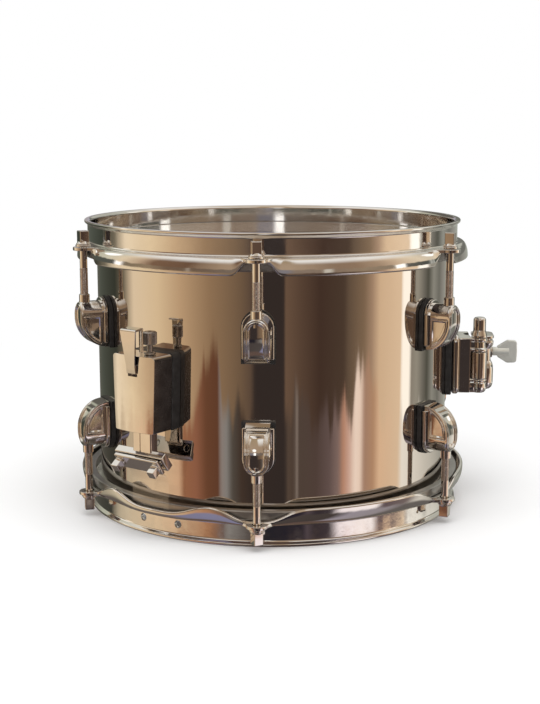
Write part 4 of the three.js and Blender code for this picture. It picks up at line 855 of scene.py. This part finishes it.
def knurled_knob():
    """Straight-knurled knob on its shaft."""
    bottom = HOUSING_TOP + 6.6
    top = bottom + 8.8
    profile = [
        (0, bottom), (3.4, bottom), (4.0, bottom + 0.15), (KNOB_RADIUS, bottom + 0.8),
        (KNOB_RADIUS, top - 0.8), (4.0, top - 0.15), (3.2, top), (0, top),
    ]
    steps = KNURL_RIDGES * KNURL_STEPS
    loops = []
    for i in range(steps):
        ridge = KNURL_DEPTH * (1 - abs(2 * ((i / KNURL_STEPS) % 1) - 1))
        grown = [(r + (ridge if r == KNOB_RADIUS else 0), z) for r, z in profile]
        loops.append([(*polar(r, tau * i / steps, SLIDE_X, THUMB_Y), z) for r, z in grown])
    dimple = turned([(0, top - 0.1), (1.4, top - 0.1), (1.2, top), (0, top)], 24, SLIDE_X, THUMB_Y)
    collar = rounded(rect(0, HOUSING_TOP + 0.3, 3.8, HOUSING_TOP + 1.7), [0, 0.3, 0.3, 0], 3)
    shaft = rod_up(2.0, HOUSING_TOP - 18, bottom + 0.5, SLIDE_X, THUMB_Y, 24)
    return joined(loft(loops, ring=True), dimple, turned(collar, 40, SLIDE_X, THUMB_Y), shaft)


TILT = radians(36)
CLAMP_X = 143.6
CLAMP_Z = -47.4
CLAMP = Matrix.Translation((CLAMP_X, 0, CLAMP_Z)) @ Matrix.Rotation(TILT, 4, "Y")
BAR = 5.6
CLAMP_LENGTH = 41.5
CLAMP_HEIGHT = 12.0
PLATE_START = 3.8
PLATE_THICKNESS = 2.6
PLATE_LENGTH = 37.4
SCREW_Y = 15.7


def in_clamp(mesh):
    return moved(mesh, CLAMP)


def square_head(start, y, z=0.0):
    head = rounded(rect(y - 2.8, z - 2.8, y + 2.8, z + 2.8), 0.5, 3)
    return softened(outward(head, start + 0.8, start + 6.5), 0.6, 3, 40)


def clamp_screws(start, back, z=0.0):
    parts = []
    for y in (-SCREW_Y, SCREW_Y):
        parts.append(rod_out(1.9, back, start + 1, y, z, 20))
        parts.append(softened(rod_out(3.9, start, start + 1.0, y, z, 32), 0.3, 2))
        parts.append(square_head(start, y, z))
    return parts


carriage = cut(box((SLIDE_DEPTH, 22.4, 36), (SLIDE_X, 0, 1)), rod_up(THUMB_HOLE, -20, 40, SLIDE_X, THUMB_Y))
carriage = softened(carriage, 0.5, 2)
stem = softened(box((SLIDE_DEPTH, 16, 27.5), (SLIDE_X, 2, -43.2 + 13.75)), 0.9, 3)
groove = box((2, 1.0, 40), (SLIDE_X + SLIDE_DEPTH / 2, 0.6, -36))
bar = cut(
    box((BAR, CLAMP_LENGTH, CLAMP_HEIGHT), (0, 0, 0)),
    *[rod_out(2.2, -BAR, BAR, y, 0, 24) for y in (-SCREW_Y, SCREW_Y)],
)
bar = in_clamp(softened(bar, 0.7, 3, 40))
slide_mesh = joined(carriage, cut(stem, groove), bar)
plate = box((PLATE_THICKNESS, PLATE_LENGTH, CLAMP_HEIGHT), (PLATE_START + PLATE_THICKNESS / 2, 0, 0))
plate = softened(plate, 0.7, 3)
clamp_mesh = in_clamp(joined(plate, *clamp_screws(PLATE_START + PLATE_THICKNESS, -2.5)))

place = station(STRAINER)
add("strainer_base_pad", finished(base_pad, RUBBER, 40), place, "drum", "strainer_gasket")
case = painted(
    finished(housing_mesh, CHROME, 26), ENAMEL,
    lambda face: abs(face.normal.y) > 0.8 and abs(face.center.y) > 15.5 * MM and face.center.x > STRAINER_SEAT * MM,
)
add("strainer_case", case, place, "drum", "strainer_housing")
add("strainer_handle", finished(lever_mesh, CHROME, 30), place, "strainer_lever", "strainer_lever")
add(
    "strainer_knob", finished(knurled_knob(), KNURLED, 30), place,
    "strainer_thumbscrew", "strainer_thumbscrew",
)
add("strainer_carriage", finished(slide_mesh, CHROME, 30), place, "strainer_slide", "strainer_slide")
clamp_mesh = finished(clamp_mesh, CHROME, 30)
add("strainer_clamp", clamp_mesh, place, "strainer_slide", "strainer_clamp_plate")

# Straps: clear film from each clamp, behind the collar, through the gate and under the snare-side head
STRAP_WIDTH = 32.0
STRAP_THICKNESS = 0.4
UNDER_HEAD = -90.0
gate_route = [
    (STRAP_RADIUS, -77.9), (STRAP_RADIUS, -84.4), (136.3, -85.85), (131.0, -87.6),
    (126.9, -89.7), (124.1, UNDER_HEAD), (101.0, UNDER_HEAD),
]


def smooth_path(points, steps=5):
    """A path through the points, eased at each of them."""
    path = []
    for i in range(len(points) - 1):
        p = [Vector(points[max(0, min(len(points) - 1, i + k))]) for k in (-1, 0, 1, 2)]
        for step in range(steps):
            t = step / steps
            a = p[1]
            b = (p[2] - p[0]) * 0.32
            c = (p[3] - p[1]) * 0.32
            d = p[2]
            path.append(
                a * (2 * t ** 3 - 3 * t ** 2 + 1) + b * (t ** 3 - 2 * t ** 2 + t)
                + d * (-2 * t ** 3 + 3 * t ** 2) + c * (t ** 3 - t ** 2)
            )
    path.append(Vector(points[-1]))
    return path


def strap(route):
    path = smooth_path(route)
    loops = []
    for i, point in enumerate(path):
        along = (path[min(i + 1, len(path) - 1)] - path[max(i - 1, 0)]).normalized()
        normal = Vector((-along.y, along.x)) * (STRAP_THICKNESS / 2)
        half = STRAP_WIDTH / 2
        across = [-half + STRAP_WIDTH * k / 8 for k in range(9)]
        loop = [(point.x + normal.x, y, point.y + normal.y) for y in across]
        loop += [(point.x - normal.x, y, point.y - normal.y) for y in reversed(across)]
        loops.append(loop)
    return loft(loops)


slot_x = BAR / 2 + 0.5


def in_slot(up):
    x = CLAMP_X + slot_x * cos(TILT) + up * sin(TILT)
    return (x, CLAMP_Z - slot_x * sin(TILT) + up * cos(TILT))


mouth = in_slot(-CLAMP_HEIGHT / 2 - 0.3)
bend = mouth[0] - STRAP_RADIUS
strainer_route = [
    in_slot(CLAMP_HEIGHT / 2 - 0.3), in_slot(0), mouth,
    (STRAP_RADIUS + bend / 4, mouth[1] - bend), (STRAP_RADIUS, mouth[1] - bend * 2),
] + gate_route
# It isn't ridden, because a blended piece has no parent
strainer_strap = finished(strap(strainer_route), FILM, 50)
strainer_strap = add("strainer_film_strap", strainer_strap, place, None, "strainer_strap")
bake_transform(strainer_strap)

# Snares: coiled wires between two end plates
WIRES = 14
WIRE_PITCH = 3.9
WIRE_Z = -90.7
COIL = 0.72
COIL_WIRE = 0.2
COIL_TURN = 2.0
SPAN = 196.0
COIL_LENGTH = SPAN + 4


def coil(y):
    turns = int(COIL_LENGTH / COIL_TURN)
    per_turn = 8
    loops = []
    for i in range(turns * per_turn + 1):
        a = tau * i / per_turn
        x = -COIL_LENGTH / 2 + COIL_TURN * i / per_turn
        loop = []
        for k in range(4):
            b = tau * k / 4
            r = COIL + COIL_WIRE * cos(b)
            loop.append((x + COIL_WIRE * sin(b), *polar(r, a, y, WIRE_Z)))
        loops.append(loop)
    return loft(loops)


plates = []
END_PLATE_X = 104
END_PLATE_HALF = (6, 29)
half_x, half_y = END_PLATE_HALF
for x in (-END_PLATE_X, END_PLATE_X):
    outline = rounded(rect(x - half_x, -half_y, x + half_x, half_y), 1.5, 4)
    plates.append(softened(upward(outline, -91.4, -90.5), 0.2, 2, 40))
coils = [coil((i - (WIRES - 1) / 2) * WIRE_PITCH) for i in range(WIRES)]
add("snare_coils", finished(joined(*plates, *coils), WIRE, 60), place, "drum", "snare_wires")

# Butt plate
BUTT_Z = -49.6
BUTT_FRONT = 136.6
BUTT_HALF = 20.75
butt_outline = rounded(rect(-BUTT_HALF, BUTT_Z - 9.6, BUTT_HALF, BUTT_Z + 9.6), 3, 6)


def inset(outline, by):
    """An outline drawn in towards the middle of its box."""
    (left, right), (low, high) = [(min(side), max(side)) for side in zip(*outline)]
    mid_a, mid_b = (left + right) / 2, (low + high) / 2
    return [
        (mid_a + (a - mid_a) * (1 - 2 * by / (right - left)), mid_b + (b - mid_b) * (1 - 2 * by / (high - low)))
        for a, b in outline
    ]


def on_shell(outline, front, soft):
    return pad(lambda by: inset(outline, by), front, soft)


butt_screws = [rod_out(2.2, 132, 140, y, BUTT_Z - 0.3, 24) for y in (-SCREW_Y, SCREW_Y)]
butt_mesh = joined(
    cut(on_shell(butt_outline, BUTT_FRONT, 0.8), *butt_screws),
    *[inner_screw(127.3, y, BUTT_Z) for y in (-10.375, 10.375)],
)
butt_clamp_outline = rounded(rect(-18.7, BUTT_Z - 6, 18.7, BUTT_Z + 6), 1.5, 4)
butt_clamp_mesh = joined(
    softened(outward(butt_clamp_outline, 137.6, 140.2), 0.6, 3, 40),
    *clamp_screws(140.2, 133.3, BUTT_Z - 0.3),
)
butt_place = station(BUTT)
add("butt_block", finished(butt_mesh, CHROME, 30), butt_place, "drum", "butt_plate")
add("butt_clamp", finished(butt_clamp_mesh, CHROME, 30), butt_place, "drum", "butt_clamp_plate")
butt_route = [(STRAP_RADIUS, BUTT_Z + 5.7), (STRAP_RADIUS, BUTT_Z), (STRAP_RADIUS, BUTT_Z - 14)] + gate_route
add("butt_film_strap", finished(strap(butt_route), FILM, 50), butt_place, "drum", "butt_strap")

# Tom bracket
PLATE_X = 130.9
BLOCK_X = 135.9
BLOCK_FRONT = 144.3
JAW_X = 146.3
JAW_FRONT = 161.9
JAW_TOP = 17.5
JAW_BOTTOM = -22.5
HINGE_X = 150.3
HINGE_Y = -11.5
TOM_X = 145.3
TOM_Y = 3.5
WING_Y = 12.5
WING_Z = 3.4
bracket_outline = rounded(rect(-18, -24.6, 18, 20.1), 5, 6)
plate_outline = rounded(rect(-17.3, -23.9, 17.3, 19.4), 5, 6)
TOM_HOLE = 5.3
HINGE_HOLE = 2.9
tom_space = rod_up(TOM_HOLE, -30, 30, TOM_X, TOM_Y, 48)
hinge_space = rod_up(HINGE_HOLE, -30, 30, HINGE_X, HINGE_Y, 32)


def knuckle(levels):
    """Hinge eye on its neck, with each level drawn in by its own amount."""
    def plan(by):
        reach = 5.8 - by
        neck = 4.4 - by
        start = asin(neck / reach)
        angles = [pi + start + (tau - 2 * start) * i / 36 for i in range(37)]
        eye = [polar(reach, a, HINGE_X, HINGE_Y) for a in angles]
        return [(138.5, HINGE_Y + neck), (138.5, HINGE_Y - neck)] + eye
    return loft([[(x, y, z) for x, y in plan(by)] for z, by in levels])


backing = softened(outward(plate_outline, PLATE_X, BLOCK_X), 2.0, 5, 40)
seat_block = box((BLOCK_FRONT - BLOCK_X + 0.4, 32, 40), ((BLOCK_FRONT + BLOCK_X - 0.4) / 2, 0, -2.5))
seat_block = softened(seat_block, 1.0, 3, 40)
notch = box((20, 12, 5.8), (BLOCK_X + 10.2, WING_Y - 2.9 + 6, WING_Z))
base = united(backing, seat_block)
lower_eye = knuckle([
    (-22.5, 2.0), (-22.2, 1.3), (-21.4, 0.6), (-20.0, 0.15), (-18.0, 0.0), (-15.6, 0.1), (-15.0, 0.8), (-14.6, 0.9),
    (-14.2, 0.2), (-13.6, 0.0), (-12.9, 0.1), (-12.5, 0.5),
])
upper_eye = knuckle([
    (7.5, 0.5), (7.9, 0.1), (8.6, 0.0), (9.4, 0.1), (9.9, 0.8), (10.4, 1.2), (14.4, 1.3), (14.9, 0.9),
    (15.1, 0.2), (15.5, 0.0), (16.9, 0.0), (17.3, 0.2), (17.5, 0.7),
])
base = united(base, lower_eye, upper_eye)
base = cut(base, tom_space, hinge_space, notch)
base_mesh = joined(base, inner_screw(131, 0, -15.25), inner_screw(131, 0, 10.75))

jaw_plan = rounded(rect(JAW_X, -4.8, JAW_FRONT, 17.4), [0.6, 5.6, 4.0, 0.6], 8)
jaw_levels = [
    (-22.5, 3.4), (-22.1, 2.2), (-21.0, 1.0), (-19.2, 0.3), (-17.0, 0.0), (-8.0, 0.0), (-5.0, 0.2), (-3.0, 0.8),
    (-1.6, 1.7), (-0.8, 1.9), (7.4, 1.9), (8.2, 1.6), (9.4, 0.7), (11.0, 0.2), (12.6, 0.1), (13.6, 0.5),
    (14.2, 1.3), (15.0, 1.4), (15.2, 0.3), (15.5, 0.0), (16.9, 0.0), (17.3, 0.3), (17.5, 0.8),
]
jaw = loft([[(x, y, z) for x, y in inset(jaw_plan, by)] for z, by in jaw_levels])
boss = softened(rod_out(4.6, 155, JAW_FRONT, WING_Y, WING_Z, 40), 0.5, 3, 40)
barrel = softened(rod_up(5.8, JAW_BOTTOM + 10.3, JAW_TOP - 10.3, HINGE_X, HINGE_Y, 40), 0.5, 2, 40)
web = box((5.8, 11.7, 19.4), (HINGE_X + 2.9, -5.65, -2.5))
jaw = united(jaw, barrel, web, boss)
wing_hole = rod_out(2.6, 140, 170, WING_Y, WING_Z, 32)
jaw_mesh = cut(jaw, hinge_space, wing_hole, tom_space)

seat = JAW_TOP + 0.3
bolt_top = seat + 14.5
bolt_mesh = turned(
    rounded(
        [
            (0, JAW_BOTTOM), (2.6, JAW_BOTTOM), (2.6, seat), (5.6, seat), (5.6, seat + 1.4), (4.5, seat + 5),
            (4.5, bolt_top), (0, bolt_top),
        ],
        [0, 0.4, 0, 0.3, 0.9, 4.0, 2.6, 0], 8,
    ),
    48, HINGE_X, HINGE_Y,
)

hub_start = 162.2
hub_end = hub_start + 7
wing_outline = rounded(
    [
        (hub_end - 3.5, WING_Z - 4.0), (hub_end + 3.7, WING_Z - 8.5), (hub_end + 10.6, WING_Z - 8.2),
        (hub_end + 11, WING_Z), (hub_end + 10.6, WING_Z + 8.2), (hub_end + 3.7, WING_Z + 8.5),
        (hub_end - 3.5, WING_Z + 4.0),
    ],
    [1.0, 2.5, 2.2, 9.0, 2.2, 2.5, 1.0], 6,
)
wings = softened(sideways(wing_outline, WING_Y - 1.8, WING_Y + 1.8), 0.9, 3, 40)
hub_mesh = softened(rod_out(3.2, hub_start, hub_end + 5, WING_Y, WING_Z, 40), 0.5, 3, 40)
wing_mesh = joined(united(wings, hub_mesh), rod_out(2.3, 136.6, hub_end, WING_Y, WING_Z, 24))

bracket_place = station(BRACKET)
bracket_pad = finished(on_shell(bracket_outline, 130.6, 0.5), RUBBER, 40)
wing_mesh = finished(wing_mesh, SATIN, 28)
add("bracket_pad", bracket_pad, bracket_place, "drum", "bracket_gasket")
add("bracket_block", finished(base_mesh, CHROME, 28), bracket_place, "drum", "bracket_base")
add("bracket_clasp", finished(jaw_mesh, CHROME, 28), bracket_place, "bracket_jaw", "bracket_jaw")
add("bracket_bolt", finished(bolt_mesh, CHROME, 28), bracket_place, "drum", "bracket_hinge_bolt")
add("bracket_wing", wing_mesh, bracket_place, "bracket_wing_screw", "bracket_wing_screw")

# Floor, which fades into the white around it and keeps the drum's shadow
FLOOR_Z = -0.1921
FLOOR_RADIUS = 30
FADE_START = 0.2
FADE_END = 0.75
floor_mesh = bpy.data.meshes.new("floor")
rim = [(FLOOR_RADIUS * x, FLOOR_RADIUS * y, FLOOR_Z) for x, y in circle(1, 64)]
floor_mesh.from_pydata(rim, [], [tuple(range(len(rim)))])
floor = linked("floor", floor_mesh)
look = Nodes("floor", Metallic=0, Specular_IOR_Level=0.1)
look.colour((3, 2), (0.90, 0.90, 0.90), (0.92, 0.92, 0.92))
look.roughness((8, 2), 0.8, 0.9)
far = look.new("ShaderNodeVectorMath", {0: look.place}, operation="LENGTH").outputs["Value"]
fade = {"Value": far, "From Min": FADE_START, "From Max": FADE_END}
away = look.new("ShaderNodeMapRange", fade, interpolation_type="SMOOTHSTEP").outputs["Result"]
rays = look.new("ShaderNodeLightPath").outputs
direct = {0: rays["Is Camera Ray"], 1: rays["Is Transmission Ray"]}
direct = look.new("ShaderNodeMath", direct, operation="MAXIMUM").outputs["Value"]
shown = look.new("ShaderNodeMath", {0: direct, 1: away}, operation="MULTIPLY").outputs["Value"]
paper = look.new("ShaderNodeEmission", {"Color": WHITE}).outputs["Emission"]
floor_mix = look.new("ShaderNodeMixShader", {0: shown, 1: look.shader.outputs["BSDF"], 2: paper})
look.tree.links.new(floor_mix.outputs["Shader"], look.tree.nodes["Material Output"].inputs["Surface"])
floor_mesh.materials.append(look.material)
floor.visible_glossy = False

# Surroundings: white to the camera and through the clear heads; the metal mirrors a room of soft upright bands
CAMERA_DEGREES = 4.05
CAMERA_AZIMUTH = radians(CAMERA_DEGREES - 90)
# Each band: its azimuth from the camera's, and its red, green and blue in hundredths
ROOM = [
    (-180, 16, 15, 12), (-150, 9, 10, 8), (-122, 5, 5.5, 4.2), (-111, 20, 17, 12), (-100, 98, 80, 57),
    (-78, 93, 72, 46), (-60, 68, 47, 28), (-40, 40, 26, 15), (-20, 22, 14.5, 9), (-14, 15, 10, 7),
    (-11, 4.5, 3.4, 3.1), (7, 4.5, 3.4, 3.1), (8, 19, 12, 8), (18, 13, 8, 5.5), (30, 7.5, 4.4, 3.2),
    (46, 9.5, 6.2, 4.4), (49, 16, 11, 7.5), (60, 28, 19, 12), (66, 50, 34, 23), (72, 88, 64, 42),
    (90, 98, 74, 51), (92, 145, 138, 125), (99, 145, 138, 125), (101, 34, 31, 26), (107, 40, 38, 32),
    (114, 22, 21, 18), (120, 10, 10, 8), (128, 34, 34, 30), (138, 20, 20, 17.5), (145, 30, 29, 26),
    (160, 40, 41, 36),
]
LOWER_ROOM = [
    (-180, 12, 11, 9), (-122, 5, 5, 4), (-110, 62, 52, 37), (-76, 88, 64, 41), (-63, 86, 56, 35),
    (-59, 40, 18, 9.5), (-50, 36, 15.5, 9), (-43, 20, 8.5, 4.5), (-35, 17, 7.2, 4), (-33, 36, 31, 29),
    (-29.5, 32, 31, 30), (-26, 12, 10.5, 9), (-20, 7.5, 5, 3.8), (-13, 5, 3.6, 3.1), (8, 4.5, 3.4, 3.1),
    (9.5, 12, 8.5, 6.5), (14, 10, 7, 5.5), (14.8, 50, 42, 37), (16, 11, 8, 6.5), (28, 11, 7.5, 6.5),
    (37, 17, 12, 11.5), (43, 30, 21, 19), (46, 62, 33, 22), (50, 80, 52, 42), (54.5, 115, 95, 82),
    (58, 110, 88, 74), (61, 50, 31, 22), (68, 60, 36, 22), (73, 96, 66, 43), (89, 95, 72, 50), (93, 110, 105, 95),
    (160, 26, 26, 22),
]
TABLE = [
    (-180, 16, 15, 14), (-130, 10, 10, 8), (-108, 70, 60, 43), (-60, 74, 53, 33), (-40, 50, 25, 13),
    (-31, 16, 10, 8), (-27, 30, 28, 26), (-14, 12, 10, 9), (-4, 2.2, 2, 2.6), (18, 2.5, 2, 3), (21, 10, 7.5, 8.5),
    (26, 4, 3, 3.5), (35, 6, 4.5, 5), (41, 110, 98, 100), (64, 120, 110, 108), (69, 14, 10, 11), (88, 22, 17, 16),
    (98, 75, 70, 62), (112, 20, 20, 17), (150, 30, 30, 27),
]
HORIZON = [
    (-180, 44, 42, 48), (-160, 40, 35, 30), (-125, 10, 11, 9), (-102, 10, 10, 8.5), (-101, 160, 155, 150),
    (-96, 160, 155, 150), (-95, 24, 19, 13), (-75, 34, 25, 16), (-62, 20, 13, 8.5), (-50, 18, 12, 8),
    (-48.5, 50, 42, 34), (-46.5, 18, 12, 8), (-8.5, 22, 18, 15), (-7.5, 170, 165, 160), (-2, 170, 165, 160),
    (-1, 26, 24, 26), (9, 24, 22, 24), (12, 29, 22, 17), (28, 27, 20, 15), (29, 65, 60, 52), (33, 65, 60, 52),
    (34.5, 28, 20, 14.5), (52, 34, 25, 17), (73, 32, 25, 18), (74.5, 160, 155, 145), (80, 160, 155, 145),
    (82, 14, 13, 11), (101, 9, 10, 8.5), (103, 70, 70, 64), (105, 9, 10, 8.5), (145, 18, 18, 16),
]
UPPER_ROOM = [
    (-180, 12, 11, 10), (-150, 14, 13, 11), (-138, 52, 53, 43), (-112, 70, 66, 52), (-98, 92, 76, 54),
    (-84, 64, 47, 32), (-73, 24, 14, 8.5), (-50, 18, 10, 6), (-42, 30, 20, 13), (-28, 42, 30, 20),
    (10, 46, 34, 23.5), (36, 31, 21, 14), (50, 33, 22, 14.5), (64, 44, 31, 21), (76, 70, 52, 36),
    (95, 92, 78, 58), (130, 52, 52, 46),
]
# How far the lower bands reach up, in hundredths
SKYLINE = [
    (-180, 0), (-54, 0), (-38, 100), (-34, 90), (-31, 10), (-12, 0), (13, 0), (14, 50), (17, 40), (20, 0),
    (42, 0), (46, 40), (48, 10), (52, 10), (55, 60), (60, 75), (68, 50), (76, 0),
]
CEILING = [
    (-180, 97, 95, 92), (-19, 97, 95, 91), (-14, 44, 33, 21), (12, 40, 30, 19), (17, 97, 94, 90),
]
BELOW = [
    (-180, 10, 9, 8), (-75, 20, 16, 14), (-56, 24, 23, 35), (-36, 26, 25, 37), (-31, 9, 7.5, 7), (40, 7, 5.5, 5),
    (52, 38, 34, 39), (78, 36, 32, 34), (95, 16, 14, 13), (140, 14, 13, 12),
]
NADIR = (0.13, 0.085, 0.07)
ZENITH = (0.66, 0.56, 0.45)
LAMPS = [((-3, 17), 4.5), ((112, 24), 6), ((-116, 26), 6)]
LAMP_COLOUR = (1.4, 1.38, 1.34, 1)
PLAIN_STRENGTH = 0.9

world = bpy.data.worlds.new("surroundings")
bpy.context.scene.world = world
world.use_nodes = True
world.node_tree.nodes.clear()


def node(kind, inputs=None, **settings):
    return made_node(world.node_tree, kind, inputs, **settings)


def maths(operation, *values):
    return node("ShaderNodeMath", dict(enumerate(values)), operation=operation).outputs["Value"]


def blended(factor, first, second):
    """Two colours blended. The colour sockets of a mix node are its inputs 6 and 7 and its output 2."""
    return node("ShaderNodeMix", {0: factor, 6: first, 7: second}, data_type="RGBA").outputs[2]


def eased(value, low, high):
    inputs = {"Value": value, "From Min": low, "From Max": high}
    return node("ShaderNodeMapRange", inputs, interpolation_type="SMOOTHSTEP").outputs["Result"]


def flat_colour(colour):
    chosen = node("ShaderNodeRGB")
    chosen.outputs[0].default_value = (*colour, 1)
    return chosen.outputs[0]


def background(colour, strength=1):
    return node("ShaderNodeBackground", {"Color": colour, "Strength": strength}).outputs["Background"]


def mixed(factor, first, second):
    return node("ShaderNodeMixShader", {0: factor, 1: first, 2: second}).outputs["Shader"]


towards_room = node("ShaderNodeTexCoord").outputs["Generated"]
direction = node("ShaderNodeSeparateXYZ", {"Vector": towards_room}).outputs
azimuth = maths("ARCTAN2", direction["Y"], direction["X"])
share = maths("FRACT", maths("ADD", maths("DIVIDE", maths("SUBTRACT", azimuth, CAMERA_AZIMUTH), tau), 0.5))


def bands(stops):
    """Upright bands of colour round the room, from their azimuths about the camera's."""
    made = node("ShaderNodeValToRGB", {"Fac": share})
    elements = made.color_ramp.elements
    for i, (degrees, *colour) in enumerate(stops):
        position = (degrees + 180) / 360
        element = elements[i] if i < 2 else elements.new(position)
        element.position = position
        element.color = (*[part / 100 for part in colour], 1)
    return made.outputs["Color"]


streaks = node("ShaderNodeTexNoise", {"W": share, "Scale": 60, "Detail": 3}, noise_dimensions="1D").outputs["Fac"]
waver = maths("SUBTRACT", streaks, 0.5)
height = direction["Z"]
# Heights at which one zone of the room gives way to the next
ragged, steady, uneven = (maths("ADD", height, maths("MULTIPLY", waver, depth)) for depth in (0.11, 0.02, 0.06))
reach = bands([(degrees, up, up, up) for degrees, up in SKYLINE])
skyline = maths("SUBTRACT", uneven, maths("MULTIPLY", reach, 0.055))
room = bands(BELOW)
for level, low, high, stops in (
    (ragged, -0.56, -0.42, TABLE), (steady, -0.303, -0.292, LOWER_ROOM), (skyline, -0.236, -0.212, ROOM),
    (steady, -0.02, 0.0, HORIZON), (ragged, 0.12, 0.18, UPPER_ROOM), (height, 0.45, 0.86, CEILING),
):
    room = blended(eased(level, low, high), room, bands(stops))
room = blended(eased(height, -0.95, -0.88), flat_colour(NADIR), room)
room = blended(eased(height, 0.90, 0.97), room, flat_colour(ZENITH))
for (lamp_azimuth, lamp_height), width in LAMPS:
    around, tip = radians(lamp_azimuth) + CAMERA_AZIMUTH, radians(lamp_height)
    lamp_at = (cos(tip) * cos(around), cos(tip) * sin(around), sin(tip))
    towards = node("ShaderNodeVectorMath", {0: towards_room, 1: lamp_at}, operation="DOT_PRODUCT").outputs["Value"]
    near = [cos(radians(width * edge_share)) for edge_share in (1.3, 1.0)]
    room = blended(eased(towards, *near), room, LAMP_COLOUR)
rays = node("ShaderNodeLightPath").outputs
lit = mixed(rays["Is Glossy Ray"], background(WHITE, PLAIN_STRENGTH), background(room))
lit = mixed(maths("MAXIMUM", rays["Is Camera Ray"], rays["Is Transmission Ray"]), lit, background(WHITE))
node("ShaderNodeOutputWorld", {"Surface": lit})


def area_light(name, size, energy, place, target):
    data = bpy.data.lights.new(name, "AREA")
    data.shape = "RECTANGLE"
    data.size, data.size_y = size
    data.energy = energy
    lamp = linked(name, data)
    lamp.location = place
    lamp.rotation_euler = (Vector(target) - Vector(place)).to_track_quat("-Z", "Y").to_euler()
    lamp.visible_glossy = False


area_light("overhead", size=(1.1, 0.8), energy=9, place=(0.15, -0.35, 1.25), target=(0, 0, -0.1))
area_light("left_fill", size=(0.5, 0.9), energy=3, place=(-1.2, -0.7, 0.55), target=(0, 0, -0.1))

# Camera, as fitted to the photograph
DISTANCE = 0.9639
CAMERA_HEIGHT = 0.084
FOCAL_PIXELS = 1324
PICTURE_HEIGHT = 704
SENSOR = 36
TIP_DOWN = 0.1751
PAN = 0.0019
ROLL = -0.0009
data = bpy.data.cameras.new("camera")
data.sensor_width = SENSOR
data.lens = FOCAL_PIXELS / PICTURE_HEIGHT * SENSOR
camera = linked("camera", data)
around = radians(CAMERA_DEGREES)
camera.location = (DISTANCE * sin(around), -DISTANCE * cos(around), CAMERA_HEIGHT)
aim = Matrix.Rotation(around + PAN, 4, "Z") @ Matrix.Rotation(pi / 2 - TIP_DOWN, 4, "X")
camera.rotation_euler = (aim @ Matrix.Rotation(ROLL, 4, "Z")).to_euler()
bpy.context.scene.camera = camera
bpy.context.scene.view_settings.view_transform = "Standard"
